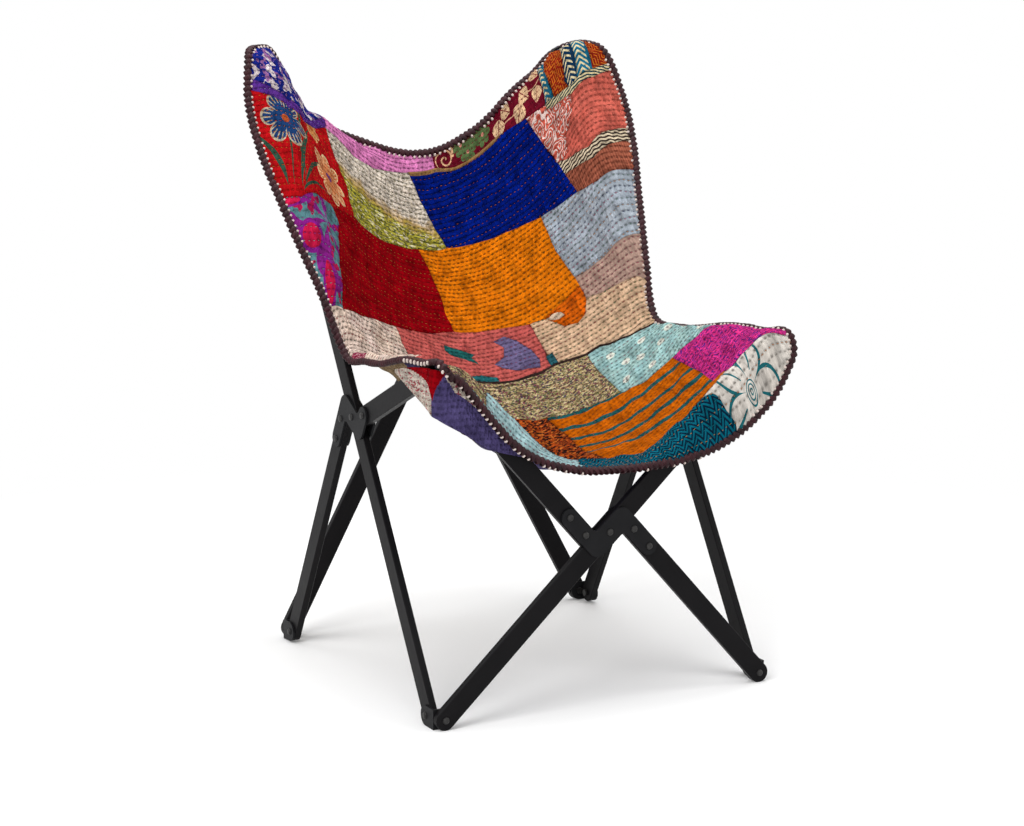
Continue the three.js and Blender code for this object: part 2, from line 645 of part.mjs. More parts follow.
// Shares of the pocket's drop. Along the side: how far back, and how far its top and bottom hang below
// the corner. At the corner: top and bottom. Along the front or the back: how far inward, top and bottom.
const frontPocketShares = {
  side: [[1.6, 0.20, 0.30], [0.9, 0.08, 0.55], [0.2, 0, 0.85]],
  corner: [[0, 0.95], [0.04, 1.0], [0.12, 1.1]],
  inward: [[0.4, 1.3], [0.9, 1.6], [1.4, 1.8], [1.8, 1.9]],
};
const rearPocketShares = {
  side: [[0.95, 0.85, 1.0], [0.65, 0.45, 1.0], [0.3, 0.12, 1.0]],
  corner: [[0.02, 1.0], [0, 1.0], [0, 1.0]],
  inward: [[0.3, 0.22, 1.0], [0.6, 0.55, 0.95]],
};

function frontPocketPath(side) {
  const drop = FRONT_POCKET_DROP;
  const { side: sideShares, corner, inward } = frontPocketShares;
  const cornerHeight = frontTop - pocketTopGap;
  const place = (x, y, top, bottomShare) => ({
    top: new THREE.Vector3(side * x, y, top),
    bottom: new THREE.Vector3(side * x, y, cornerHeight - bottomShare * drop),
  });
  const below = (share) => cornerHeight - share * drop;
  const alongFront = ([steps, bottomShare]) => {
    const x = footPivotX - steps * drop;
    const barTop = FRONT_HUB_HEIGHT + x * frontBarSlope + frontBarTopRise;
    return place(x, -pocketStandoff, barTop - pocketTopGap, bottomShare);
  };
  return [
    ...sideShares.map(([back, top, bottom]) => place(outsideX, back * drop, below(top), bottom)),
    place(outsideX, pocketCorner, below(corner[0][0]), corner[0][1]),
    place(outsideX - pocketCorner, -pocketStandoff, below(corner[1][0]), corner[1][1]),
    place(footPivotX, -pocketStandoff, below(corner[2][0]), corner[2][1]),
    ...inward.map(alongFront),
  ];
}

function rearPocketPath(side) {
  const drop = REAR_POCKET_DROP;
  const { side: sideShares, corner, inward } = rearPocketShares;
  const top = rearTop - pocketTopGap;
  const backFace = (height) => sideFrame.rearTip.x + (height - REAR_TIP_HEIGHT) * Math.tan(rearLean)
    + (BRACKET_SIDE_SETBACK + pocketStandoff) / Math.cos(rearLean);
  const place = (x, forward, topShare, bottomShare) => {
    const upper = top - topShare * drop;
    const lower = top - bottomShare * drop;
    return {
      top: new THREE.Vector3(side * x, backFace(upper) - forward, upper),
      bottom: new THREE.Vector3(side * x, backFace(lower) - forward, lower),
    };
  };
  return [
    ...sideShares.map(([forward, upper, lower]) => place(outsideX, forward * drop, upper, lower)),
    place(outsideX, pocketCorner, ...corner[0]),
    place(outsideX - pocketCorner, 0, ...corner[1]),
    place(footPivotX, 0, ...corner[2]),
    ...inward.map(([steps, upper, lower]) => place(footPivotX - steps * drop, 0, upper, lower)),
  ];
}

[['left', -1], ['right', 1]].forEach(([side, sign]) => {
  const frontGrid = pocketGrid(frontPocketPath(sign));
  const rearGrid = pocketGrid(rearPocketPath(sign));
  addMesh(chair, `front_${side}_pocket`, sheetGeometry(frontGrid, POCKET_THICKNESS), quiltPurple);
  addMesh(chair, `rear_${side}_pocket`, sheetGeometry(rearGrid, POCKET_THICKNESS), quiltPurple);
});

// The origin goes to the floor below the middle of the whole chair.
const whole = new THREE.Box3().setFromObject(chair, true);
const wholeMiddle = whole.getCenter(new THREE.Vector3());
chair.position.set(-wholeMiddle.x, -wholeMiddle.y, -whole.min.z);

export default chair;
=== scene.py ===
import math
from functools import partialmethod

import bpy
import numpy as np
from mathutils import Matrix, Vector
from mathutils.geometry import delaunay_2d_cdt
from mathutils.kdtree import KDTree


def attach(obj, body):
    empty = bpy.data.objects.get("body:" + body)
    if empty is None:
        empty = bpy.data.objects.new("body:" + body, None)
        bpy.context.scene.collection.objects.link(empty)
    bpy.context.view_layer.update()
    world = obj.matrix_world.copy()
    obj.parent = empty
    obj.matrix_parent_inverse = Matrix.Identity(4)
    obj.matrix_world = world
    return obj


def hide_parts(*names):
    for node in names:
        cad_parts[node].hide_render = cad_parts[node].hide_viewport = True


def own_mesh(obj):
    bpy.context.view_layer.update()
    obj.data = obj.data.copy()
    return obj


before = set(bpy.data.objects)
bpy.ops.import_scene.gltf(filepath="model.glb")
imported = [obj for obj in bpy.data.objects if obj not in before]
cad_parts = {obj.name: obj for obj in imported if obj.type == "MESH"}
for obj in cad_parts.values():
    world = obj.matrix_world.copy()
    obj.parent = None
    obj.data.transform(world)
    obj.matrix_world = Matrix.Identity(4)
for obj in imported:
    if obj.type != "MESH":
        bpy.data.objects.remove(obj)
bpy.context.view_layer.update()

# Camera
# It stands about 3.6 m away, low and to the left of the chair's front, so that the front cross, the
# left side and the inside of the sling all show.
view_turn, view_rise, view_distance = math.radians(-27.58), math.radians(10.37), 3.5957
look_at = Vector((-0.0482, -0.1052, 0.383))
towards_camera = Vector((
    math.sin(view_turn) * math.cos(view_rise),
    -math.cos(view_turn) * math.cos(view_rise),
    math.sin(view_rise),
))


def placed(name, data):
    """A new object of the scene that shows the data."""
    thing = bpy.data.objects.new(name, data)
    bpy.context.collection.objects.link(thing)
    return thing


camera = placed("camera", bpy.data.cameras.new("camera"))
camera.data.sensor_width, camera.data.lens = 36, 89.78
camera.location = look_at + towards_camera * view_distance
camera.rotation_euler = (-towards_camera).to_track_quat("-Z", "Y").to_euler()
bpy.context.scene.camera = camera
bpy.context.scene.view_settings.view_transform = "Standard"

# Flat bars
# Twelve flat bars with round ends and eased edges, finished in satin black lacquer that is a little
# uneven and finely streaked. They turn on the bolts of the hubs and feet.


class Reading:
    """A number or colour read from a tree's nodes; sums with it add Math nodes."""

    def __init__(self, owner, socket):
        self.owner, self.socket = owner, socket

    def of(self, operation, *others):
        return self.owner.node("ShaderNodeMath", {"operation": operation}, dict(enumerate((self, *others))))

    __add__ = __radd__ = partialmethod(of, "ADD")
    __mul__ = __rmul__ = partialmethod(of, "MULTIPLY")
    __sub__ = partialmethod(of, "SUBTRACT")
    __truediv__ = partialmethod(of, "DIVIDE")
    __mod__ = partialmethod(of, "MODULO")
    __gt__ = partialmethod(of, "GREATER_THAN")
    __lt__ = partialmethod(of, "LESS_THAN")

    def __rsub__(self, other):
        return (self * -1) + other


class Nodes:
    """A tree that is put together node by node."""

    def node(self, kind, settings=None, inputs=None, out=0):
        made = self.tree.nodes.new(kind)
        for key, value in (settings or {}).items():
            setattr(made, key, value)
        for key, value in (inputs or {}).items():
            self.feed(made.inputs[key], value)
        return Reading(self, made.outputs[out])

    def feed(self, socket, value):
        if isinstance(value, Reading):
            self.tree.links.new(value.socket, socket)
        elif socket.type == "RGBA":
            socket.default_value = (*(dye(value) if isinstance(value, str) else value), 1)
        else:
            socket.default_value = value


class Finish(Nodes):
    """A material: a Principled shader and what feeds it."""

    def __init__(self, name, **surface):
        self.material = bpy.data.materials.new(name)
        self.material.use_nodes = True
        self.tree = self.material.node_tree
        self.shader = self.tree.nodes["Principled BSDF"]
        for socket, value in surface.items():
            self.give(socket, value)

    def give(self, name, value):
        self.feed(self.shader.inputs[name.replace("_", " ")], value)

    def mix(self, share, first, second, blend="MIX"):
        settings = {"data_type": "RGBA", "blend_type": blend}
        return self.node("ShaderNodeMix", settings, {0: share, 6: first, 7: second}, 2)

    def noise(self, place, scale, detail=2.0, out=0):
        return self.node("ShaderNodeTexNoise", {}, {"Vector": place, "Scale": scale, "Detail": detail}, out)

    def bump(self, height, depth):
        self.give("Normal", self.node("ShaderNodeBump", {}, {"Distance": depth, "Height": height}))

    def stretched(self, place, stretch):
        return self.node("ShaderNodeVectorMath", {"operation": "MULTIPLY"}, {0: place, 1: stretch})

    def object_place(self, stretch=(1, 1, 1)):
        return self.stretched(self.node("ShaderNodeTexCoord", out=3), stretch)

    def channel(self, colour, number):
        return self.node("ShaderNodeSeparateColor", {}, {0: colour}, number)

    def cover(self, *words):
        """Dresses the CAD nodes whose names hold one of the words."""
        for name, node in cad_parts.items():
            if any(word in name for word in words):
                node.data.materials.clear()
                node.data.materials.append(self.material)


lacquer = Finish("black_lacquer", Roughness=0.42, Specular_IOR_Level=0.07)
cloudy = lacquer.noise(lacquer.object_place(), 14, 4)
brushed = lacquer.noise(lacquer.object_place((1, 1, 0.25)), 420, 3)
lacquer.give("Base Color", lacquer.mix(cloudy, (0.003, 0.003, 0.0034), (0.010, 0.009, 0.010)))
lacquer.give("Roughness", cloudy * 0.16 + brushed * 0.14 + 0.27)
lacquer.bump(brushed * 0.6 + cloudy * 0.4, 0.00012)
lacquer.cover("_bar")

# Hub plates and foot brackets
# Plates of 3 mm steel with a thin black powder coat, whose fine orange-peel skin takes the light softly.
# The S-shaped plates clamp the half bars; the angle brackets join the bars at the floor.
powder = Finish("black_powder_coat", Roughness=0.5, Specular_IOR_Level=0.09)
peel, dust = powder.noise(powder.object_place(), 900, 2), powder.noise(powder.object_place(), 30, 4)
powder.give("Base Color", powder.mix(dust, (0.005, 0.005, 0.006), (0.014, 0.014, 0.015)))
powder.give("Roughness", dust * 0.2 + 0.36)
powder.bump(peel, 0.00016)
powder.cover("hub_plate", "_bracket")

# Bolts
# Blackened steel bolts with low domed heads, and plain nuts behind. One pivots each hub, the others hold
# the half bars, the arms and the feet.
bolt_black = Finish("blackened_steel", Metallic=0.5, Roughness=0.36, Specular_IOR_Level=0.3)
oiled = bolt_black.noise(bolt_black.object_place(), 260, 3)
bolt_black.give("Base Color", bolt_black.mix(oiled, (0.012, 0.012, 0.013), (0.05, 0.048, 0.046)))
bolt_black.give("Roughness", oiled * 0.3 + 0.25)
bolt_black.cover("bolt", "_nut")

# The sling's surface
# One shaped cover, stitched from two layers of old cotton. Its corner pockets sit on the four pairs of
# bar ends, and between them it hangs in a deep bucket. It is drawn in rows from the top edge (0) down
# past the crease between back and seat (6) to the front edge (14), each row from -1 left to 1 right.
frame_width, frame_depth = 0.524, 0.540
front_hub, side_hub, rear_tip_height = 0.246, 0.383, 0.863
bar_radius, bar_thickness, bracket_gap = 0.014, 0.010, 0.0033
front_setback, side_setback = 0.014, 0.035
sling_thickness, sling_clearance, wing_reach = 0.004, 0.004, 0.060
middle_of_box = 0.297714

front_tip_height = 2 * front_hub - bar_radius
front_pivot = np.array([side_setback, bar_radius])
rear_lean, lean_rounds = 0.0, 8  # each round brings the rear legs' lean closer
for _ in range(lean_rounds):
    lift = bar_radius * math.cos(rear_lean) + side_setback * math.sin(rear_lean)
    rear_pivot = np.array([frame_depth - side_setback, lift])
    middle, base = (front_pivot + rear_pivot) / 2, rear_pivot - front_pivot
    hub = np.array([middle[0] - (side_hub - middle[1]) * base[1] / base[0], side_hub])
    rear_tip = front_pivot + (hub - front_pivot) * (rear_tip_height - bar_radius) / (side_hub - bar_radius)
    rear_lean = math.atan2(rear_tip[0] - rear_pivot[0], rear_tip[1] - rear_pivot[1])

bearing_width = frame_width / 2 - bracket_gap - bar_thickness - sling_thickness / 2
bearing_offset = bar_radius + sling_clearance + sling_thickness / 2
foot_width = frame_width / 2 - front_setback
front_top = front_tip_height + bearing_offset + sling_clearance / 2
rear_top = rear_tip_height + bearing_offset
front_slope = (front_tip_height - bar_radius) / (2 * foot_width)
bar_top_rise = bar_radius * math.hypot(1, front_slope)

# Each row: middle as shares of depth and height, rise and back powers, and the edge's steps.
back_rows = [
    ((1.080, 0.834), 2.1, 5, (0.40, 0.00, 0.02)),
    ((1.050, 0.790), 1.9, 4, (0.88, -0.12, -0.05)),
    ((1.000, 0.720), 1.8, 2, (1.12, -0.18, 0.00)),
    ((0.930, 0.645), 1.8, 2, (1.06, -0.12, 0.05)),
    ((0.855, 0.575), 1.8, 2, (0.70, -0.10, 0.05)),
    ((0.765, 0.512), 1.8, 2, (0.35, -0.05, 0.03)),
    ((0.640, 0.452), 1.8, 2, (0.12, -0.05, 0.02)),
    ((0.500, 0.396), 1.9, 2, (0.16, -0.05, 0.03)),
    ((0.365, 0.360), 1.9, 2, (0.24, -0.05, 0.02)),
    ((0.225, 0.356), 1.9, 2, (0.34, -0.06, -0.02)),
]
# The front rows: middle, then bearing place, rise power and edge steps at the left and at the right.
front_rows = [
    ((0.090, 0.370), ((0.060, 0.992), 2.0, (0.25, 0, -0.05)), ((0.060, 0.992), 2.0, (0.50, 0, -0.06))),
    ((0.034, 0.378), ((0.020, 1.000), 2.0, (0.24, 0, -0.05)), ((0.020, 1.000), 2.0, (0.60, 0, -0.08))),
    ((-0.004, 0.385), ((-0.006, 0.994), 2.0, (0.22, 0, -0.08)), ((-0.006, 0.990), 2.0, (0.68, 0, -0.16))),
    ((-0.022, 0.388), ((-0.024, 0.970), 1.9, (0.20, 0, -0.08)), ((-0.024, 0.925), 2.3, (0.70, 0, 0.10))),
    ((-0.028, 0.386), ((-0.028, 0.945), 2.1, (0.16, 0, -0.05)), ((-0.026, 0.805), 3.4, (0.60, 0, 0.70))),
]
side_bar_shares, arm_shares = (0, 0.985, 0.925, 0.835, 0.735, 0.635, 0.54), (0.74, 0.46, 0.18)
across_shares = (0.2, 0.4, 0.6, 0.8, 1)
crease_row, front_row = 6, 14


def row_points(middle, left, right):
    centre = np.array([middle[0] * frame_depth, middle[1] * rear_tip_height])

    def place(side, share):
        bearing, rise, back, _ = left if side < 0 else right
        depth = centre[0] + (bearing[0] - centre[0]) * share ** back
        height = centre[1] + (bearing[1] - centre[1]) * share ** rise
        x = share * bearing_width
        if bar_radius - bearing_offset < depth < bar_thickness + bearing_offset:
            bar_top = front_hub + x * front_slope + bar_top_rise
            height = max(height, min(bar_top + sling_thickness + sling_clearance, front_top))
        return np.array([side * x, depth, height])

    def edge(side, steps):
        return place(side, 1) + np.array([side * steps[0], steps[1], steps[2]]) * wing_reach

    left_half = [edge(-1, left[3])] + [place(-1, share) for share in reversed(across_shares)]
    right_half = [place(1, share) for share in across_shares] + [edge(1, right[3])]
    return np.array(left_half + [np.array([0, *centre])] + right_half)


def sling_rows():
    along = rear_tip - front_pivot
    length = np.linalg.norm(along)
    along = along / length
    off = np.array([-along[1], along[0]]) * bearing_offset
    places = [front_pivot + along * length * share + off for share in side_bar_shares]
    places[0] = np.array([rear_tip[0] + side_setback + bearing_offset - bar_radius, rear_top])
    places[1][1] = rear_top
    corner = np.array([side_setback, front_top])
    places += [corner + (places[-1] - corner) * share for share in arm_shares]
    rows = []
    for (middle, rise, back, edge), bearing in zip(back_rows, places):
        rows.append(row_points(middle, (bearing, rise, back, edge), (bearing, rise, back, edge)))
    for middle, *sides in front_rows:
        both = [(np.array([b[0] * frame_depth, b[1] * front_top]), rise, 2, edge) for b, rise, edge in sides]
        rows.append(row_points(middle, *both))
    return np.array(rows)


def smooth_curve(points, share):
    """Places along curves through the points, whose last two axes are point and coordinate."""
    count = points.shape[-2]
    step = np.clip(share, 0, 1) * (count - 1)
    first = np.minimum(np.floor(step).astype(int), count - 2)
    part = (step - first)[..., None]
    before = 2 * points[..., :1, :] - points[..., 1:2, :]
    after = 2 * points[..., -1:, :] - points[..., -2:-1, :]
    padded = np.concatenate([before, points, after], axis=-2)
    padded = np.broadcast_to(padded, first.shape + padded.shape[-2:])
    four = [np.take_along_axis(padded, (first + k)[..., None, None], axis=-2)[..., 0, :] for k in range(4)]
    gaps = [((a - b) ** 2).sum(-1, keepdims=True) ** 0.25 for a, b in zip(four, four[1:])]
    slopes = []
    for k in (0, 1):
        (a, b, c), (g, h) = four[k:k + 3], gaps[k:k + 2]
        slopes.append(((b - a) / g - (c - a) / (g + h) + (c - b) / h) * gaps[1])
    rise = four[2] - four[1]
    bend = 3 * rise - 2 * slopes[0] - slopes[1]
    turn = slopes[0] + slopes[1] - 2 * rise
    return four[1] + slopes[0] * part + bend * part ** 2 + turn * part ** 3


rows_of_sling = sling_rows()
# Where the worn cover has settled: middle of the pull, how far it reaches, and how far it goes.
settled = [
    ((-0.86, 0.0), (0.16, 0.7), (0.006, -0.030, 0)),
    ((-0.92, 0.0), (0.07, 0.5), (0, 0, 0.005)),
    ((-0.76, 0.9), (0.15, 0.9), (0, 0, -0.036)),
    ((-0.64, 0.0), (0.11, 0.5), (0, 0.014, -0.026)),
    ((-0.48, 0.0), (0.12, 0.6), (0, 0.004, -0.010)),
    ((-0.50, 1.0), (0.12, 0.7), (0, 0, 0.005)),
    ((-1.0, 2.6), (0.20, 1.3), (-0.002, 0, 0)),
    ((-1.0, 4.4), (0.20, 1.1), (-0.010, 0, 0)),
    ((-1.0, 6.0), (0.20, 0.9), (-0.003, -0.010, -0.015)),
    ((-1.0, 7.5), (0.20, 1.2), (0, 0, -0.022)),
    ((-0.84, 12.2), (0.10, 1.6), (0, 0, -0.012)),
    ((-1.0, 13.8), (0.08, 0.8), (0, 0, 0.014)),
    ((-0.95, 13.2), (0.16, 1.8), (0.005, 0, 0.004)),
    ((-0.72, 14.0), (0.16, 2.2), (0, 0, 0.015)),
    ((-0.48, 14.0), (0.22, 1.2), (0, 0, -0.0055)),
    ((-0.10, 9.8), (0.35, 1.8), (0, 0, 0.005)),
    ((0.28, 0.0), (0.17, 0.55), (0, 0, 0.010)),
    ((0.54, 0.0), (0.17, 0.9), (-0.004, 0, 0.021)),
    ((0.84, 0.0), (0.10, 0.8), (0, 0, -0.016)),
    ((1.0, 0.9), (0.12, 0.9), (-0.010, 0, -0.004)),
    ((1.0, 3.0), (0.20, 1.5), (-0.008, 0, 0)),
    ((1.0, 7.2), (0.20, 0.9), (0, 0, -0.011)),
    ((1.0, 11.2), (0.12, 2.5), (0, 0, 0.008)),
]


def sling_place(across, row):
    across, row = np.broadcast_arrays(np.asarray(across, float), np.asarray(row, float))
    share = (across + 1) / 2
    columns = [smooth_curve(np.broadcast_to(r, share.shape + r.shape), share) for r in rows_of_sling]
    place = smooth_curve(np.stack(columns, axis=-2), row / front_row) - np.array([0, middle_of_box, 0])
    for (u, v), (wide, high), step in settled:
        pull = np.exp(-((across - u) / wide) ** 2 - ((row - v) / high) ** 2)
        place = place + pull[..., None] * np.array(step)
    return place


# Cloth measures: how far a spot lies from the middle line and from the top edge, along the cloth.
row_cells, across_cells, well_inside = 140, 100, slice(10, 91)
measure_rows, measure_across = np.linspace(0, front_row, row_cells + 1), np.linspace(-1, 1, across_cells + 1)
measured = sling_place(*np.meshgrid(measure_across, measure_rows))
row_steps = np.linalg.norm(np.diff(measured, axis=1), axis=-1)
row_lengths = np.concatenate([np.zeros((row_cells + 1, 1)), np.cumsum(row_steps, axis=1)], axis=1)
row_lengths -= row_lengths[:, [across_cells // 2]]
column_steps = np.linalg.norm(np.diff(measured, axis=0), axis=-1)[:, well_inside].mean(1)
column_lengths = np.concatenate([[0], np.cumsum(column_steps)])


def cell_and_part(number, cells):
    """The measuring cell that a number counted in cells falls in, and how far into it."""
    number = np.clip(number, 0, cells - 0.001)
    return number.astype(int), number - number.astype(int)


def cloth_place(across, row):
    """Metres across from the middle line and down from the top edge, measured on the cloth."""
    across, row = np.asarray(across, float), np.asarray(row, float)
    (i, down_part), (j, part) = cell_and_part(row / front_row * row_cells, row_cells), cell_and_part(
        (across + 1) * across_cells / 2, across_cells)
    low = row_lengths[i, j] * (1 - part) + row_lengths[i, j + 1] * part
    high = row_lengths[i + 1, j] * (1 - part) + row_lengths[i + 1, j + 1] * part
    return low * (1 - down_part) + high * down_part, np.interp(row, measure_rows, column_lengths)


def numbers_at(across, down):
    """The across and row numbers of a spot given in metres on the cloth."""
    row = np.interp(down, column_lengths, measure_rows)
    i, part = cell_and_part(row / front_row * row_cells, row_cells)
    lengths = row_lengths[i] * (1 - part[:, None]) + row_lengths[i + 1] * part[:, None]
    off_the_cloth = 9
    found = [np.interp(a, one, measure_across, left=off_the_cloth, right=off_the_cloth)
             for a, one in zip(across, lengths)]
    return np.array(found), row


def wander(across, down):
    """How far a hand-sewn row strays from its straight line, in metres."""
    slow = np.sin(across * 17 + down * 9) * 0.0035 + np.sin(across * 41 - down * 23 + 1.3) * 0.0013
    return slow + np.sin(down * 31 + 0.4) * 0.002

# Quilted cotton
# Every patch is old cotton dyed or block-printed in its own colours, held to the lining by rows of small
# running stitches that pucker it. A patch's pattern follows the cloth, measured in metres on it. Its colour
# carries painted shade: darker in the stitch dimples, in the valleys between rows and along the seams, and
# lighter and darker with the folds.
stitch_row_pitch, stitch_pitch, stitch_step, stitch_jitter = 0.0082, 0.0076, 0.381, 0.24


def stitch_chance(row, dash):
    """A number from 0 to 1 that belongs to one stitch, the same for its dimple and its thread."""
    if isinstance(row, Reading):
        return ((row * 12.99 + dash * 78.23).of("SINE") * 43.76).of("FRACT")
    number = np.sin(row * 12.99 + dash * 78.23) * 43.76
    return number - np.floor(number)


def dye(code):
    """A cloth colour from its six-digit shade card code, in linear light."""
    parts = [int(code[k:k + 2], 16) / 255 for k in (0, 2, 4)]
    return tuple(c / 12.92 if c <= 0.04045 else ((c + 0.055) / 1.055) ** 2.4 for c in parts)


def quilt(name, motif, pucker=1.0, dark=0.5):
    cloth = Finish(name, Roughness=0.9, Specular_IOR_Level=0.02)
    place = cloth.node("ShaderNodeAttribute", {"attribute_name": "cloth"}, out=1)
    across, along, stray = (cloth.node("ShaderNodeSeparateXYZ", {}, {0: place}, k) for k in range(3))
    seam = cloth.node("ShaderNodeAttribute", {"attribute_name": "seam"}, out=2)
    row = (along + stray) / stitch_row_pitch
    dash = across / stitch_pitch + row.of("FLOOR") * stitch_step
    chance = stitch_chance(row.of("FLOOR"), dash.of("FLOOR"))
    off_line = row.of("FRACT") - 0.5 + (chance - 0.5) * stitch_jitter
    off_dash = dash.of("FRACT") - 0.5
    # The stitch dimples: sunk by the bump, and darkened below with painted shade.
    near = (off_line * off_line * -44 - off_dash * off_dash * 11).of("EXPONENT") * (chance * 0.7 + 0.45)
    valley = (off_line * off_line * -26).of("EXPONENT")
    spread = cloth.stretched(place, (1, 0.45, 0))
    crease, crinkle, fold = cloth.noise(spread, 190, 2), cloth.noise(place, 95, 3), cloth.noise(spread, 62, 2)
    weave = (across * 6600).of("SINE") * (along * 6600).of("SINE")
    height = crease * 2.0 + crinkle * 1.1 + fold * 4.0 - near * 0.9 - valley * 0.3 + weave * 0.02
    worn = cloth.noise(place, 24, 4) * 0.30 + 0.72
    # Painted light and shade of the folds: the noises that raise the bump also lighten and darken the colour.
    shaded = crease * 0.9 + crinkle * 0.6 + fold * 1.3 - 0.44
    # Painted shade in the stitch dimples, in the valleys between rows and along the seams, times the painted fold
    # shading and the cloth's own uneven fade (worn).
    deep = (1 - near * dark - valley * 0.14 * dark - seam * 0.35) * shaded * worn
    fade_and_shade_grey = cloth.node("ShaderNodeCombineColor", {}, {0: deep, 1: deep, 2: deep})
    cloth.give("Base Color", cloth.mix(1.0, motif(cloth, place, across, along), fade_and_shade_grey, "MULTIPLY"))
    cloth.bump(height * pucker, 0.0022)
    return cloth.material


patches = []


def patch(name, motif, threads, corners, pucker=1.0, dark=0.5):
    """Sews one piece of cloth. Corners are in thousandths across and hundredths of a row. Dark sets how
    much painted shade darkens its stitch dimples and the valleys between its rows.
    """
    corners = np.array(corners) / (1000, 100)
    patches.append((quilt(name, motif, pucker, dark), corners, [dye(t) for t in threads.split()]))


def around(across, along, at, wide=1.0, high=None):
    """Steps across and along from a spot of the sling, as shares of a size, and how far they lead."""
    centre_across, centre_along = map(float, cloth_place(*at))
    x, y = (across - centre_across) / wide, (along - centre_along) / (high or wide)
    return x, y, (x * x + y * y).of("SQRT")


# Patches of the back
# Nearly three dozen scraps, laid in bands that cross the back a little askew.


def plain(first, second, scale=55):
    return lambda cloth, place, *_: cloth.mix(cloth.noise(place, scale, 3), first, second)


def floral(cloth, place, across, along):
    large, small = cloth.noise(place, 75, 1), cloth.noise(place, 120, 1, out=1)
    petals = cloth.mix(large > 0.57, "18247c", "cfc2c4")
    return cloth.mix(cloth.channel(small, 0) > 0.60, petals, "8a5c8c")


def blossom(across, along, at, radius, petals, twist=0.0, rim=0.09):
    """The masks of a flower's petals, of the veins and rim on them, and of its eye."""
    x, y, reach = around(across, along, at, radius)
    angle = y.of("ARCTAN2", x) + twist
    lobe = (angle * (petals / 2)).of("SINE").of("ABSOLUTE").of("POWER", 0.4) * 0.55 + 0.45
    vein = ((angle * petals * 5).of("SINE") > 0.6) * (reach > lobe * 0.6)
    edging = (vein + (reach > lobe - rim)).of("MINIMUM", 1.0)
    return reach < lobe, (reach < lobe) * edging, reach < 0.16


def blade(across, along, foot, bend, length, width, lean=0.0):
    """The mask of one long leaf that rises from its foot and bends over."""
    start_across, start_along = map(float, cloth_place(*foot))
    rise = (start_along - along) / length
    middle = rise * rise * bend + rise * lean + start_across
    half = (rise * math.pi).of("SINE") * width
    return ((across - middle).of("ABSOLUTE") < half) * (rise > 0.0) * (rise < 1.0)


def garden(cloth, place, across, along):
    colour = cloth.mix(cloth.noise(place, 40, 3), "a00a10", "b01218")
    for leaf in (
            ((-0.93, 3.52), -0.050, 0.085, 0.0050, -0.005), ((-0.90, 3.55), 0.012, 0.150, 0.0018),
            ((-0.84, 3.55), -0.006, 0.165, 0.0018), ((-0.86, 3.55), 0.060, 0.130, 0.0042),
            ((-0.84, 3.50), 0.085, 0.095, 0.0040, 0.015), ((-0.86, 3.60), 0.075, 0.045, 0.0045, 0.020),
            ((-0.80, 2.60), 0.030, 0.090, 0.0030)):
        colour = cloth.mix(blade(across, along, *leaf), colour, "2c4a3c")
    for at, radius, petals, *shades in (
            ((-0.655, 2.66), 0.040, 9, "c4784c", "dcb98c", "5c3160"),
            ((-0.70, 1.78), 0.020, 6, "c8854c", "d8b07c", "b0602c"),
            ((-0.866, 2.36), 0.041, 6, "1c3a68", "a89c84", "a84c28")):
        for mask, shade in zip(blossom(across, along, at, radius, petals, 0.4), shades):
            colour = cloth.mix(mask, colour, shade)
    return colour


def paisley(cloth, place, across, along):
    x, y, _ = around(across, along, (-0.775, 3.95))
    spokes = (y.of("ARCTAN2", x) * 6 + cloth.noise(place, 30, 1) * 8).of("SINE") > 0.35
    colour = cloth.mix(spokes, "527c82", "7c2078")
    colour = cloth.mix(cloth.noise(place, 60, 1) > 0.62, colour, "a01848")
    for drop in (((-0.880, 4.30), 0.017, 0.018), ((-0.845, 4.98), 0.009, 0.030), ((-0.98, 3.75), 0.03, 0.007)):
        reach = around(across, along, *drop)[2]
        colour = cloth.mix(reach < 0.9, cloth.mix(reach < 1.25, colour, "801c80"), "b81840")
    return colour


def speckled(light, dark, spark, size=420):
    def motif(cloth, place, across, along):
        threads = cloth.stretched(place, (0.5, 1, 0))
        fleck, glint = cloth.noise(threads, size, 1), cloth.noise(threads, size * 0.8, 1, out=1)
        return cloth.mix(cloth.channel(glint, 1) > 0.60, cloth.mix(fleck > 0.54, light, dark), spark)
    return motif


def cream_to_olive(cloth, *at):
    place, across, along = at
    cream = speckled("d8ccbe", "b5a893", "9c9488")(cloth, *at)
    olive = speckled("a8a03a", "5c6134", "cfc7a0", 330)(cloth, *at)
    turn = (along - across * 0.10 - float(cloth_place(-0.25, 1.9)[1]) - 0.026) * 40
    ragged = (turn + cloth.noise(place, 60, 2) * 1.5 - 0.25).of("MAXIMUM", 0.0)
    golden = cloth.mix((ragged * 1.6).of("MINIMUM", 1.0), cream, "b08c4c")
    return cloth.mix((ragged * 1.3 - 0.5).of("MAXIMUM", 0.0).of("MINIMUM", 1.0), golden, olive)


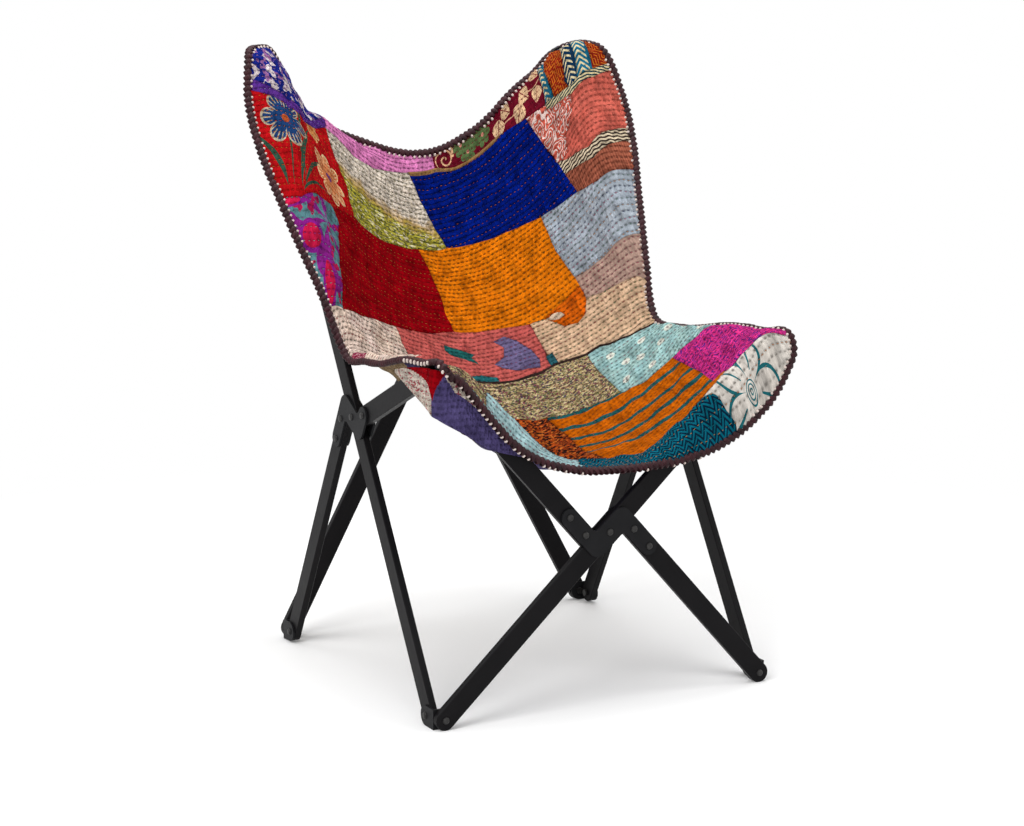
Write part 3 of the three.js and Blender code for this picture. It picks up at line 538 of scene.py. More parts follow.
def vines(cloth, place, across, along):
    colour = cloth.mix(cloth.noise(place, 50, 2), "560a1a", "6d1024")
    for u, v, length, turn in ((0.425, 0.83, 0.0135, 1.9), (0.482, 0.48, 0.0120, 0.7), (0.536, 1.03, 0.0140, 2.3),
                               (0.581, 0.63, 0.0130, 0.9), (0.632, 1.02, 0.0120, 2.0), (0.666, 0.22, 0.0120, 0.8)):
        x, y, _ = around(across, along, (u, v), length)
        x, y = x * math.cos(turn) + y * math.sin(turn), (y * math.cos(turn) - x * math.sin(turn)).of("ABSOLUTE")
        leaf = (y < (1 - x * x) * (x * -0.46 + 0.92)) * (x > -1.0) * (x < 1.0)
        veins = ((x - y) * 2.6 + 0.1).of("FRACT") < 0.14
        colour = cloth.mix(leaf, colour, "d6b48c")
        colour = cloth.mix(leaf * (veins + (y < 0.06)).of("MINIMUM", 1.0), colour, "7c3434")
    (x0, y0), (x1, y1) = (map(float, cloth_place(*end)) for end in ((0.39, 1.0), (0.66, 0.60)))
    vine = (along - y0 - (across - x0) * ((y1 - y0) / (x1 - x0)) + (across * 130).of("SINE") * 0.003).of("ABSOLUTE")
    colour = cloth.mix((vine < 0.0009) * (across > x0), colour, "c89c7c")
    for u, v in ((0.215, 0.27), (0.25, 0.60), (0.303, 0.28), (0.341, 0.42)):
        petals, _, eye = blossom(across, along, (u, v), 0.0165, 7, u * 9)
        colour = cloth.mix(eye, cloth.mix(petals, colour, "50643c"), "c07c6c")
    x, y, reach = around(across, along, (0.12, 0.50))
    reach = reach / 0.011
    coil = ((y.of("ARCTAN2", x) / (2 * math.pi) + reach * 1.1).of("FRACT") < 0.24) * (reach < 1.5)
    stem = ((x - 0.014).of("ABSOLUTE") < 0.0022) * (y < 0.0)
    return cloth.mix((coil + stem).of("MINIMUM", 1.0), colour, "d8ac84")


def key_pattern(cloth, place, across, along):
    column, line = across / 0.0046, along / 0.0046
    spot = cloth.node("ShaderNodeCombineXYZ", {}, {0: column.of("FLOOR"), 1: line.of("FLOOR")})
    way = cloth.node("ShaderNodeTexWhiteNoise", {"noise_dimensions": "2D"}, {"Vector": spot}) > 0.5
    upright, level = column.of("FRACT") < 0.30, line.of("FRACT") < 0.30
    colour = cloth.mix(way * upright + (1 - way) * level, "7a1a0e", "b8641c")
    return cloth.mix(cloth.noise(place, 90, 1) > 0.64, colour, "a4441c")


def chevrons(ground, mark, centre_across, width):
    def motif(cloth, place, across, along):
        side = (across - float(cloth_place(centre_across, 0.9)[0])).of("ABSOLUTE")
        return cloth.mix((((along - side * 0.9) / 0.0085).of("FRACT") < 0.42) * (side < width), ground, mark)
    return motif


def curls(ground, pale, size=55, share=0.17):
    return lambda cloth, place, *_: cloth.mix(
        ((cloth.noise(place, size, 1) * 9).of("FRACT") - 0.5).of("ABSOLUTE") < share, ground, pale)


def wavy_stripes(first, second, pitch, wave):
    def motif(cloth, place, across, along):
        sway = (across * 420).of("SINE") * wave + cloth.noise(place, 70, 1) * wave
        return cloth.mix(((along + sway) / pitch).of("FRACT") < 0.5, first, second)
    return motif


def plaid(cloth, place, across, along):
    warp = ((across * 1500).of("SINE") * 0.5 + 0.5) * cloth.noise(place, 200, 1)
    return cloth.mix(warp + ((along * 900).of("SINE") > 0.6) * 0.35, "a05c46", "6a3226")


patch("plain_crimson", plain("7a0008", "8e020e", 90), "a8481c 90040f b8642c", [
    (-1200, 320), (-622, 315), (-534, 290), (-435, 299), (-333, 292), (-137, 273), (-83, 355), (-66, 459),
    (-445, 495), (-680, 521), (-789, 533), (-1200, 530)], 0.7, 0.35)
patch("orchid", plain("c66ca6", "dc86ba"), "9c4f86 8f3f7c", [
    (-620, -50), (63, -50), (55, 74), (-101, 86), (-316, 122), (-428, 136), (-515, 137), (-585, 137), (-640, 120)])
patch("blue_floral", floral, "3a2a80 9c7ab0", [
    (-1200, -50), (-600, -50), (-583, 128), (-626, 143), (-736, 184), (-832, 208), (-883, 195), (-936, 185),
    (-988, 177), (-1200, 170)])
patch("violet_hem", plain("3c1c74", "6a3a94", 120), "5a3a9c 8a7ac0", [
    (-1200, 148), (-988, 156), (-936, 165), (-883, 176), (-832, 188), (-736, 162), (-626, 120), (-585, 106),
    (-583, 128), (-626, 143), (-736, 184), (-832, 208), (-883, 195), (-936, 185), (-988, 177), (-1200, 170)])
patch("red_garden", garden, "c06a1c b45a18 a82010", [
    (-1200, 170), (-988, 177), (-936, 185), (-883, 195), (-832, 208), (-736, 184), (-626, 143), (-583, 130),
    (-563, 174), (-547, 213), (-524, 234), (-534, 300), (-622, 315), (-685, 333), (-885, 371),
    (-1200, 365)], 0.7, 0.35)
patch("paisley", paisley, "6c9094 8a2a80", [
    (-1200, 365), (-885, 371), (-685, 333), (-669, 356), (-732, 439), (-789, 533), (-1200, 525)], 0.7, 0.3)
patch("cream_olive", cream_to_olive, "5c6134 8a8470 6a6a50", [
    (-583, 130), (-515, 137), (-428, 136), (-316, 122), (-101, 86), (-60, 158), (29, 266), (-137, 273), (-333, 292),
    (-435, 299), (-534, 300), (-524, 234), (-547, 213), (-563, 174)])
patch("maroon_vines", vines, "7c2a34 6d1024", [
    (63, -50), (720, -50), (700, 0), (668, 70), (656, 142), (555, 126), (456, 105), (375, 92), (259, 92), (166, 91),
    (55, 74)], 0.6, 0.3)
patch("teal_strip", chevrons("1c5c74", "cdbd92", 0.672, 0.006), "1c5c74", [
    (720, -50), (780, -50), (700, 60), (690, 110), (700, 160), (656, 142), (668, 70), (700, 0)], 0.5, 0.2)
patch("brick_key", key_pattern, "b8642c", [
    (780, -50), (860, -50), (770, 100), (755, 150), (783, 182), (700, 158), (690, 110), (700, 60)], 0.4, 0.2)
patch("navy_chevron", chevrons("12304c", "d2c49a", 0.79, 0.010), "12304c", [
    (860, -50), (900, -50), (820, 100), (815, 180), (783, 182), (755, 150), (770, 100)], 0.4, 0.2)
patch("teal_chevron", chevrons("1a6480", "d2c49a", 0.855, 0.012), "1a6480", [
    (900, -50), (950, -50), (900, 100), (896, 175), (815, 180), (820, 100)], 0.4, 0.2)
patch("brick_edge", key_pattern, "b8642c", [
    (950, -50), (1200, -50), (1200, 150), (977, 155), (896, 173), (900, 100)], 0.4, 0.2)
patch("coral", plain("b64e40", "c8685a"), "b04a3c a0503c", [
    (557, 124), (656, 142), (783, 179), (892, 173), (977, 155), (1200, 150), (1200, 275), (955, 277), (790, 293),
    (647, 254)])
patch("coral_curls", curls("bc5646", "d8c0b8", 48, 0.19), "b04a3c", [
    (557, 124), (656, 142), (735, 166), (775, 186), (765, 215), (710, 230), (700, 255), (660, 262), (647, 254),
    (600, 185)])
patch("key_border", wavy_stripes("d0c094", "243c44", 0.0042, 0.0004), "243c44", [
    (656, 136), (783, 171), (892, 163), (977, 145), (1200, 140), (1200, 153), (977, 158), (892, 177), (783, 185),
    (656, 150)], 0.3, 0.1)
patch("wave_stripes", wavy_stripes("cdbca0", "38302a", 0.0052, 0.0008), "6a4a3c", [
    (647, 254), (790, 293), (955, 277), (1200, 275), (1200, 300), (949, 302), (796, 316), (661, 282)], 0.5, 0.2)
patch("rust_plaid", plaid, "5a2a20 7a3a2a", [
    (661, 282), (796, 316), (949, 302), (1200, 300), (1200, 350), (944, 351), (785, 352), (693, 331)], 0.7, 0.4)
patch("royal_blue", plain("001264", "02208a", 80), "0c1c6c 7c3440 0c1c6c a0503c", [
    (-101, 86), (55, 72), (166, 91), (259, 92), (375, 92), (456, 105), (557, 124), (647, 254), (693, 331), (518, 312),
    (345, 289), (135, 271), (29, 266), (-60, 158)], 2.0, 0.5)
patch("amber_hem", plain("a8783c", "6c5a48", 90), "7a5a2c", [
    (-101, 84), (55, 70), (166, 89), (259, 90), (375, 90), (430, 98), (400, 104), (259, 101), (166, 99), (55, 85),
    (-90, 97)], 0.6, 0.2)
patch("pale_blue", plain("8c97a4", "aab1b8"), "a85a74 5c7c6c b07848 4a5478", [
    (518, 312), (693, 331), (785, 352), (944, 351), (1200, 350), (1200, 460), (938, 458), (649, 459), (580, 453),
    (538, 387)], 1.1, 0.45)
patch("mauve", plain("a08276", "b6988a"), "8c3448 a84a5c", [
    (580, 453), (649, 459), (938, 458), (1200, 460), (1200, 540), (883, 529), (670, 510), (595, 501)])
patch("beige", plain("c8a482", "dcba9c"), "98483c 6c6c3c 5c7c54", [
    (326, 490), (595, 501), (670, 510), (883, 529), (1200, 540), (1200, 640), (823, 630), (586, 600),
    (354, 595)], 1.2, 0.45)
patch("amber", plain("d26604", "e27e0e", 70), "7c5418 8a4a10", [
    (-137, 273), (29, 266), (135, 271), (345, 289), (518, 312), (538, 387), (580, 453), (598, 490), (598, 505),
    (575, 525), (532, 532), (471, 526), (430, 508), (397, 493), (316, 488), (171, 471), (-67, 460),
    (-83, 355)], 1.2, 0.5)
patch("amber_lobe", plain("c4500a", "d8660c"), "8a4a10", [
    (397, 490), (460, 486), (530, 480), (585, 472), (598, 490), (598, 505), (575, 525), (532, 532), (471, 526),
    (430, 508)])
patch("cream_darn", plain("d8c4ae", "c8ac90"), "d8c4ae", [
    (405, 496), (440, 493), (475, 497), (490, 507), (455, 508), (425, 503)])
patch("salmon", plain("b04a48", "c4645c"), "94404c a04a44", [
    (-445, 495), (-67, 460), (171, 471), (316, 488), (326, 498), (354, 595), (109, 595), (-76, 590), (-420, 595)])
patch("cream_rose", plain("d2b99e", "e2cec8", 25), "6c7c6c 8f8878 b04a4c", [
    (-1200, 525), (-789, 533), (-680, 521), (-445, 495), (-420, 595), (-620, 622), (-1200, 622)], 1.3)
patch("teal_leaf", plain("1c4c50", "1f6a64"), "1c4c50", [
    (-160, 497), (-100, 505), (-50, 510), (0, 516), (-30, 524), (-10, 542), (-70, 530), (-130, 527), (-170, 512)])
patch("slate_leaf", plain("5c5078", "746c90", 80), "8a3a60 5c5078", [
    (118, 496), (180, 493), (234, 510), (285, 539), (300, 564), (285, 580), (188, 573), (100, 559), (70, 548),
    (140, 534), (161, 515), (140, 506)])
patch("teal_scrap", plain("1c5c64", "2a7478"), "1c4c50", [
    (-100, 570), (-20, 566), (55, 576), (55, 586), (-76, 582)], 0.6)
patch("teal_corner", plain("1f4d58", "2a5c64"), "1c4c50", [(335, 562), (370, 560), (375, 585), (335, 585)], 0.6)

# Patches of the seat
# The seat goes on in the same quilting. Its bands run from the crease to the front edge, and the left
# part, which the view from the front left hides, is pieced from the same scraps.


def tweed(codes, size):
    def motif(cloth, place, across, along):
        inputs = {"Vector": cloth.stretched(place, (0.6, 1, 0)), "Scale": size}
        pick = cloth.channel(cloth.node("ShaderNodeTexVoronoi", {}, inputs, 1), 0)
        colour, *shades = codes.split()
        for number, shade in enumerate(shades, 1):
            colour = cloth.mix(pick > number / (len(shades) + 1), colour, shade)
        return colour
    return motif


def dots(cloth, place, across, along):
    colour = cloth.mix(cloth.noise(place, 60, 2), "82b2b8", "b0cec6")
    for at in ((0.593, 6.32), (0.662, 6.97), (0.617, 6.72), (0.737, 7.12), (0.72, 6.55), (0.80, 6.9), (0.56, 7.2),
               (0.66, 7.45), (0.88, 7.3), (0.84, 7.9), (0.95, 7.0)):
        reach = around(across, along, at)[2] + cloth.noise(place, 130, 1) * 0.003
        colour = cloth.mix(reach < 0.0030, cloth.mix(reach < 0.0088, colour, "d8dcd0"), "9c8488")
    return colour


def line_flower(cloth, place, across, along):
    colour = cloth.mix(cloth.noise(place, 50, 2), "c9c0b6", "ded8d0")
    x, y, reach = around(across, along, (0.737, 13.2), 0.050)
    reach = reach + cloth.noise(place, 30, 1) * 0.10 - 0.05
    angle = y.of("ARCTAN2", x) * 2.5 + 0.7
    petal = angle.of("SINE").of("ABSOLUTE").of("POWER", 0.5)
    lobe, valley = petal * 0.68 + 0.32, 1 - petal
    outline = (reach - lobe).of("ABSOLUTE") < valley * valley * 0.22 + 0.036
    rings = (((reach / 0.065).of("FRACT") - 0.5).of("ABSOLUTE") < 0.2) * (reach < 0.21)
    veins = (angle.of("COSINE").of("ABSOLUTE") < 0.10) * (reach > 0.34) * (reach < lobe * 0.8)
    return cloth.mix((outline + rings + veins).of("MINIMUM", 1.0), colour, "226a72")


def zigzag(cloth, place, across, along):
    tooth = ((across / 0.017).of("FRACT") - 0.5).of("ABSOLUTE") * 2
    return cloth.mix(((along + tooth * 0.010) / 0.0070).of("FRACT") < 0.48, "066074", "0a2236")


def fanned_stripes(cloth, place, across, along):
    (left, top), (right, high) = (map(float, cloth_place(*at)) for at in ((0.23, 7.15), (0.67, 7.80)))
    pitch = float(cloth_place(0.45, 9.45)[1] - cloth_place(0.45, 7.48)[1]) / 4
    share = (across - left) / (right - left)
    spacing = ((share * 0.9).of("MINIMUM", 0.25) + 0.75) * pitch
    sway = (across * 160).of("SINE") * 0.0007 + cloth.noise(place, 60, 1) * 0.0030
    step = (along + sway - share * (high - top) - top) / spacing + 0.4
    line = (step.of("FRACT") < 0.26) * (step > 0.0) * (step < 4.9)
    return cloth.mix(line, cloth.mix(cloth.noise(place, 60, 2), "b05004", "c86608"), "1c5456")


patch("aqua_strip", plain("90b4ba", "aecaca"), "5a8a90 8f5a6c", [
    (-1200, 622), (-620, 622), (-420, 587), (-76, 580), (20, 674), (74, 787), (132, 860), (0, 960), (-200, 1460),
    (-1200, 1460)])
patch("rose_print", curls("8e1c40", "c89ca0"), "8f4a5c", [
    (-1200, 622), (-620, 622), (-420, 590), (-420, 660), (-800, 690), (-1200, 690)])
patch("cream_strip", plain("d2b99e", "e2cec8", 25), "8f8878 b04a4c", [
    (-1200, 690), (-800, 690), (-780, 920), (-1200, 920)])
patch("salmon_strip", plain("b04a48", "c4645c"), "94404c a04a44", [
    (-1200, 920), (-780, 920), (-800, 1140), (-840, 1220), (-840, 1460), (-1200, 1460)])
patch("olive_speckle", speckled("a8a03a", "5c6134", "cfc7a0", 330), "5c6134 8a8470", [
    (-800, 690), (-420, 660), (-400, 860), (-780, 890)], 1.1, 0.4)
patch("indigo_floral", floral, "3a2a80 9c7ab0", [(-420, 660), (-60, 672), (-30, 787), (0, 830), (-400, 860)])
patch("mustard_stripes", wavy_stripes("b87818", "8a4a1c", 0.014, 0.0010), "7a5a2c 5c2a20", [
    (-780, 890), (-400, 860), (-380, 1130), (-800, 1130)], 1.1, 0.4)
patch("rose_plain", plain("a8506a", "bc6c80"), "7c2a48 d0a8a0", [
    (-400, 860), (0, 830), (20, 860), (-80, 960), (-120, 1130), (-380, 1130)], 1.1, 0.4)
patch("tweed_front", tweed("a08c60 c0b088 4c444c 7c4a50 b09c70 74764c", 620), "5c4c3c 7c3040", [
    (-800, 1130), (-620, 1130), (-660, 1320), (-840, 1340), (-840, 1220)])
patch("seat_tweed", tweed("a08c60 c0b088 4c444c 7c4a50 b09c70 74764c", 620), "5c4c3c 7c3040 8a7c48", [
    (-420, 587), (-76, 580), (55, 587), (274, 590), (354, 586), (514, 593), (507, 738), (347, 711), (170, 693),
    (20, 674), (-400, 660)])
patch("aqua_dots", dots, "3a6a64 4a8a86 8f5a6c", [
    (514, 593), (586, 590), (823, 620), (1200, 640), (1200, 840), (824, 826), (705, 780), (603, 768), (507, 738)])
patch("magenta_crackle", curls("dc3486", "6a2a84", 62, 0.15), "8a2064 4c2070", [
    (705, 780), (824, 826), (1200, 840), (1200, 1220), (931, 1219), (631, 1151)], 1.3, 0.3)
patch("teal_zigzag", zigzag, "b47a3c 0f6478", [
    (132, 851), (198, 906), (260, 975), (370, 1030), (404, 1120), (513, 1157), (651, 1359), (670, 1460), (-250, 1460),
    (0, 960)], 0.6, 0.25)
patch("line_flower", line_flower, "8a847c 8a847c b4703c", [
    (631, 1151), (931, 1219), (1200, 1220), (1200, 1460), (670, 1460), (651, 1359), (513, 1157)], 0.8)
patch("orange_stripes", fanned_stripes, "a85a14 8a4a1c", [
    (170, 693), (347, 711), (507, 738), (603, 768), (705, 780), (631, 1151), (513, 1157), (404, 1120), (370, 1030),
    (260, 975), (198, 906), (208, 753)], 0.8, 0.35)
patch("orange_tweed", tweed("a84818 3a1c14 8c3818 2a1614 bc6428", 430), "a84818 3a1c14", [
    (20, 674), (170, 693), (208, 753), (198, 906), (132, 851), (74, 787)])
# A dark strip with dark thread along the crease between back and seat: painted shade where the cloth turns in.
patch("crease_painted_shade", plain("2a1e1c", "3c2c28", 200), "2a1e1c", [
    (-500, 590), (-420, 586), (-76, 579), (55, 586), (274, 589), (354, 585), (514, 592), (586, 589), (823, 619),
    (1200, 639), (1200, 643), (823, 623), (586, 593), (514, 597), (354, 589), (274, 594), (55, 591), (-76, 584),
    (-420, 591)], 0.5, 0.2)

# Back and seat of the sling
# The quilted cover itself, 3 mm thick with its cotton lining, cut with round corners. The back hangs from
# the rear bar ends and the seat from the front ones, and they meet in the crease.
cloth_pitch, half_cut, cover_thickness, groove_depth = 0.0027, 0.30, 0.0028, 0.0006
corner_across, corner_row = 0.16, 1.0
fold_count, fold_rise, calm_from, calming = 26, 0.006, 0.75, 2.4
all_tan, seat_slate_row = front_row + 1, 8.2  # the lining turns slate past this row


def laid_flat(numbers):
    numbers = np.array(numbers, float)
    down = np.interp(numbers[:, 1], measure_rows, column_lengths)
    return np.stack([numbers[:, 0] * half_cut, down], 1)


def in_steps(a, b):
    """Numbers from one to another at the cloth's pitch, without the last."""
    a, b = np.array(a, float), np.array(b, float)
    start, end = laid_flat([a, b])
    steps = max(1, int(np.linalg.norm(end - start) / cloth_pitch))
    return [a + (b - a) * k / steps for k in range(steps)]


def cut_outline(first, last):
    """The panel's edge in across and row numbers, with the free corners rounded."""
    points = []
    for side, row in ((1, first), (1, last), (-1, last), (-1, first)):
        if row == crease_row:
            points.append((side, row))
            continue
        inward = corner_row if row == first else -corner_row
        turn = [(side * (1 - corner_across * (1 - math.sin(a))), row + inward * (1 - math.cos(a)))
                for a in np.linspace(0, math.pi / 2, 12)]
        points += turn if (side > 0) == (row == first) else turn[::-1]
    return np.array([spot for a, b in zip(points, points[1:] + points[:1]) for spot in in_steps(a, b)])


def inside(points, polygon):
    x, y = points[:, 0], points[:, 1]
    hits = np.zeros(len(points), bool)
    for (x0, y0), (x1, y1) in zip(polygon, np.roll(polygon, -1, axis=0)):
        crosses = (y0 > y) != (y1 > y)
        hits ^= crosses & (x < (x1 - x0) * (y - y0) / ((y1 - y0) or 1e-12) + x0)
    return hits


def patch_numbers(points):
    number = np.zeros(len(points), int)
    for k, (_, corners, _) in enumerate(patches):
        number[inside(points, corners)] = k
    return number


def fold_height(across, numbers, along):
    """Shallow waves of the stitched cloth, in metres, that die away towards the pockets."""
    chance = np.random.default_rng(7)
    height = np.zeros_like(across)
    for _ in range(fold_count):
        turn, size = chance.uniform(0, math.pi), chance.uniform(0.016, 0.060)
        wave = (across * math.cos(turn) + along * math.sin(turn)) / size
        height += np.sin(2 * math.pi * wave + chance.uniform(0, 6.3)) * size * fold_rise
    return height * (1 - np.clip(np.abs(numbers) - calm_from, 0, 1 - calm_from) * calming)


def cloth_normal(across, row, step=0.02):
    sideways = sling_place(np.minimum(across + step, 1), row) - sling_place(np.maximum(across - step, -1), row)
    down = sling_place(across, np.minimum(row + step, front_row)) - sling_place(across, np.maximum(row - step, 0))
    normal = np.cross(down, sideways)
    return normal / np.linalg.norm(normal, axis=1, keepdims=True)


def plain_mesh(piece):
    """Turns what the piece's modifiers make into its own mesh."""
    made = bpy.data.meshes.new_from_object(piece.evaluated_get(bpy.context.evaluated_depsgraph_get()))
    piece.modifiers.clear()
    piece.data = made
    return made


def cloth_mesh(name, places, faces, across, along):
    mesh = bpy.data.meshes.new(name)
    mesh.from_pydata(places.tolist(), [], faces.tolist())
    spots = np.stack([across, along, wander(across, along)], -1).astype(np.float32)
    mesh.attributes.new("cloth", "FLOAT_VECTOR", "POINT").data.foreach_set("vector", spots.ravel())
    return mesh


def thickened(name, mesh, thickness, **settings):
    piece = placed(name, mesh)
    thick = piece.modifiers.new("thickness", "SOLIDIFY")
    for key, value in {"thickness": thickness, "offset": 0, **settings}.items():
        setattr(thick, key, value)
    return piece, plain_mesh(piece)


def pieced_cloth(first, last, outline):
    """A flat net of triangles that follows the panel's edge and every patch's edge."""
    fixed = [tuple(p) for p in laid_flat(outline)]
    edges = [(k, (k + 1) % len(outline)) for k in range(len(outline))]
    for _, corners, _ in patches:
        for a, b in zip(corners, np.roll(corners, -1, axis=0)):
            if max(a[1], b[1]) < first or min(a[1], b[1]) > last:
                continue
            run = laid_flat(in_steps(a, b) + [b])
            edges += [(len(fixed) + k, len(fixed) + k + 1) for k in range(len(run) - 1)]
            fixed += [tuple(p) for p in run]
    tree = KDTree(len(fixed))
    for k, p in enumerate(fixed):
        tree.insert((*p, 0), k)
    tree.balance()
    top, low = np.interp([first, last], measure_rows, column_lengths)
    field = [(x, y) for y in np.arange(top, low, cloth_pitch) for x in np.arange(-half_cut, half_cut, cloth_pitch)]
    field = [p for p in field if tree.find((*p, 0))[2] > cloth_pitch * 0.55]
    flat, _, faces, *_ = delaunay_2d_cdt([Vector(p) for p in fixed + field], edges, [], 0, 1e-7, False)
    flat = np.array([tuple(p) for p in flat])
    numbers = np.stack([flat[:, 0] / half_cut, np.interp(flat[:, 1], column_lengths, measure_rows)], 1)
    faces = np.array([f for f in faces if len(f) == 3])
    faces = faces[inside(numbers[faces].mean(1), outline)]
    used, faces = np.unique(faces, return_inverse=True)
    return numbers[used], faces.reshape(-1, 3)


lining_tan = quilt("lining_tan", plain("8c7458", "a48c6c"), 0.8, 0.3)
lining_slate = quilt("lining_slate", plain("4c4468", "5c5478"), 0.8, 0.3)


def cut_panel(name, first, last, slate_from):
    numbers, faces = pieced_cloth(first, last, cut_outline(first, last))
    middles = numbers[faces].mean(1)
    owner = patch_numbers(middles)
    worn, slot = np.unique(owner, return_inverse=True)
    lowest, highest = np.full(len(numbers), len(patches)), np.full(len(numbers), -1)
    np.minimum.at(lowest, faces.ravel(), np.repeat(owner, 3))
    np.maximum.at(highest, faces.ravel(), np.repeat(owner, 3))
    # Vertices on patch edges: sunk into a shallow seam groove below, and darkened with painted shade by the quilt
    # finish.
    seam = (lowest != highest).astype(float)
    u, v = numbers.T
    across, along = cloth_place(u, v)
    lift = fold_height(across, u, along) - seam * groove_depth
    mesh = cloth_mesh(name, sling_place(u, v) + cloth_normal(u, v) * lift[:, None], faces, across, along)
    for material in [patches[k][0] for k in worn] + [lining_slate, lining_tan]:
        mesh.materials.append(material)
    mesh.polygons.foreach_set("material_index", slot)
    if np.mean([n.vector.z for n in mesh.vertex_normals]) < 0:
        mesh.flip_normals()
    mesh.attributes.new("seam", "FLOAT", "POINT").data.foreach_set("value", seam.astype(np.float32))
    to_last = 99  # past the last slot, so that the underside takes the tan lining
    piece, made = thickened(name, mesh, cover_thickness, material_offset=to_last, material_offset_rim=to_last)
    slots = np.zeros(len(made.polygons), int)
    made.polygons.foreach_get("material_index", slots)
    slots[len(faces):2 * len(faces)][middles[:, 1] > slate_from] = len(worn)
    made.polygons.foreach_set("material_index", slots)
    made.shade_smooth()
    return piece


panels = (("back", "left_straight", "sling_back_quilt", 0, crease_row),
          ("seat", "sling_seat", "sling_seat_quilt", crease_row, front_row))


def hang(piece, body):
    """Lets the piece ride on its body, with a mesh of its own."""
    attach(piece, body)
    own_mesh(piece)


for (name, body, slot, first, last), slate_from, flat, area, bars in zip(
        panels, (all_tan, seat_slate_row), ((0.78, 0.62), (0.72, 0.48)), (0.31, 0.26), ("rear", "front")):
    panel = cut_panel("sling_" + name, first, last, slate_from)
    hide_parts(f"sling_{name}_panel")
    hang(panel, body)

# Running stitches
# Thick cotton thread in colours that change from patch to patch and row to row. Each stitch that lies on
# the face is a small lens of thread, pulled into the dimple that the quilting shows there.
stitch_length, stitch_width, stitch_rise = 0.0040, 0.0010, 0.0007
stitch_margin, stitched_to = 0.006, 0.985


class Weave(Nodes):
    """A geometry node tree, with its sizes as named inputs."""

    def __init__(self, name, **sizes):
        self.tree = bpy.data.node_groups.new(name, "GeometryNodeTree")
        self.values = {}
        for way in ("INPUT", "OUTPUT"):
            self.tree.interface.new_socket("Geometry", in_out=way, socket_type="NodeSocketGeometry")
        for size, value in sizes.items():
            socket = self.tree.interface.new_socket(size, in_out="INPUT", socket_type="NodeSocketFloat")
            self.values[socket.identifier] = value
        start = self.tree.nodes.new("NodeGroupInput")
        self.end = self.tree.nodes.new("NodeGroupOutput")
        self.points, *self.sizes = (Reading(self, socket) for socket in start.outputs[:len(sizes) + 1])

    def read(self, name, kind="FLOAT_VECTOR"):
        return self.node("GeometryNodeInputNamedAttribute", {"data_type": kind}, {0: name})

    def vector(self, x, y, z):
        return self.node("ShaderNodeCombineXYZ", {}, {0: x, 1: y, 2: z})

    def moved(self, shape, **moves):
        return self.node("GeometryNodeTransform", {}, {"Geometry": shape, **moves})

    def ring(self, sides, radius=1.0):
        return self.node("GeometryNodeCurvePrimitiveCircle", {}, {"Resolution": sides, "Radius": radius})

    def between(self, least, most, seed):
        return self.node("FunctionNodeRandomValue", {"data_type": "FLOAT_VECTOR"}, {0: least, 1: most, "Seed": seed})

    def on_points(self, shape, side="face", **inputs):
        """The shape on every point, with its Z along the points' run and its X up from the cloth."""
        ahead = self.node("FunctionNodeAlignRotationToVector", {"axis": "Z"}, {"Vector": self.read("run")})
        turned = self.node("FunctionNodeAlignRotationToVector", {"axis": "X", "pivot_axis": "Z"},
                           {"Rotation": ahead, "Vector": self.read(side)})
        return self.node("GeometryNodeInstanceOnPoints", {}, {
            "Points": self.points, "Instance": shape, "Rotation": turned, **inputs})

    def ends_in(self, *parts):
        joined = self.tree.nodes.new("GeometryNodeJoinGeometry")
        for shapes, finish in parts:
            for kind, inputs in (("RealizeInstances", {}), ("SetShadeSmooth", {}),
                                 ("SetMaterial", {"Material": finish.material})):
                shapes = self.node("GeometryNode" + kind, {}, {0: shapes, **inputs})
            self.tree.links.new(shapes.socket, joined.inputs[0])
        self.tree.links.new(joined.outputs[0], self.end.inputs[0])

    def grown(self, name, places, **marks):
        """A plain mesh object that this tree grows on the places, marked with directions or colours."""
        mesh = bpy.data.meshes.new(name)
        mesh.from_pydata(places.tolist(), [], [])
        for key, values in marks.items():
            kind, field = ("FLOAT_COLOR", "color") if values.shape[1] == 4 else ("FLOAT_VECTOR", "vector")
            if field == "vector":
                values = values / np.linalg.norm(values, axis=1, keepdims=True)
            mesh.attributes.new(key, kind, "POINT").data.foreach_set(field, values.astype(np.float32).ravel())
        piece = placed(name, mesh)
        growth = piece.modifiers.new("growth", "NODES")
        growth.node_group = self.tree
        for identifier, value in self.values.items():
            growth[identifier] = value
        plain_mesh(piece)
        return piece


cotton = Finish("cotton_thread", Roughness=0.8, Specular_IOR_Level=0.1)
thread_shade = cotton.node("ShaderNodeAttribute", {"attribute_name": "thread"})
twist = cotton.noise(cotton.object_place(), 900, 2)
cotton.give("Base Color", cotton.mix(twist * 0.35, thread_shade, (0.02, 0.02, 0.02)))
cotton.bump(twist, 0.0003)

stitching = Weave("running_stitches", **{
    "Stitch Rise": stitch_rise, "Stitch Width": stitch_width, "Stitch Length": stitch_length})
lens = stitching.node("GeometryNodeMeshIcoSphere", {}, {"Radius": 0.5, "Subdivisions": 1})
lens = stitching.moved(lens, Scale=stitching.vector(*stitching.sizes))
uneven = stitching.between((0.8, 0.8, 0.65), (1.2, 1.25, 1.25), 5)
stitching.ends_in((stitching.on_points(lens, Scale=uneven), cotton))


def stitch_places(first, last):
    top, low = np.interp([first, last], measure_rows, column_lengths)
    spots = []
    for k in range(int(top / stitch_row_pitch) - 1, int(low / stitch_row_pitch) + 2):
        for j in range(-48, 49):
            dash = j + math.floor(k * stitch_step)
            aside = (stitch_chance(k, dash) - 0.5) * stitch_jitter
            spots.append(((dash + 0.5 - k * stitch_step) * stitch_pitch, (k + 0.5 - aside) * stitch_row_pitch, k))
    across, goal, row = np.array(spots).T
    down = goal
    for _ in range(4):
        down = goal - wander(across, down)
    u, v = numbers_at(across, np.clip(down, 0, column_lengths[-1]))
    numbers = np.stack([u, v], 1)
    kept = inside(numbers, cut_outline(first, last)) & (np.abs(u) < stitched_to)
    kept &= (down > top + stitch_margin) & (down < low - stitch_margin)
    return numbers[kept], across[kept], down[kept], row[kept].astype(int)


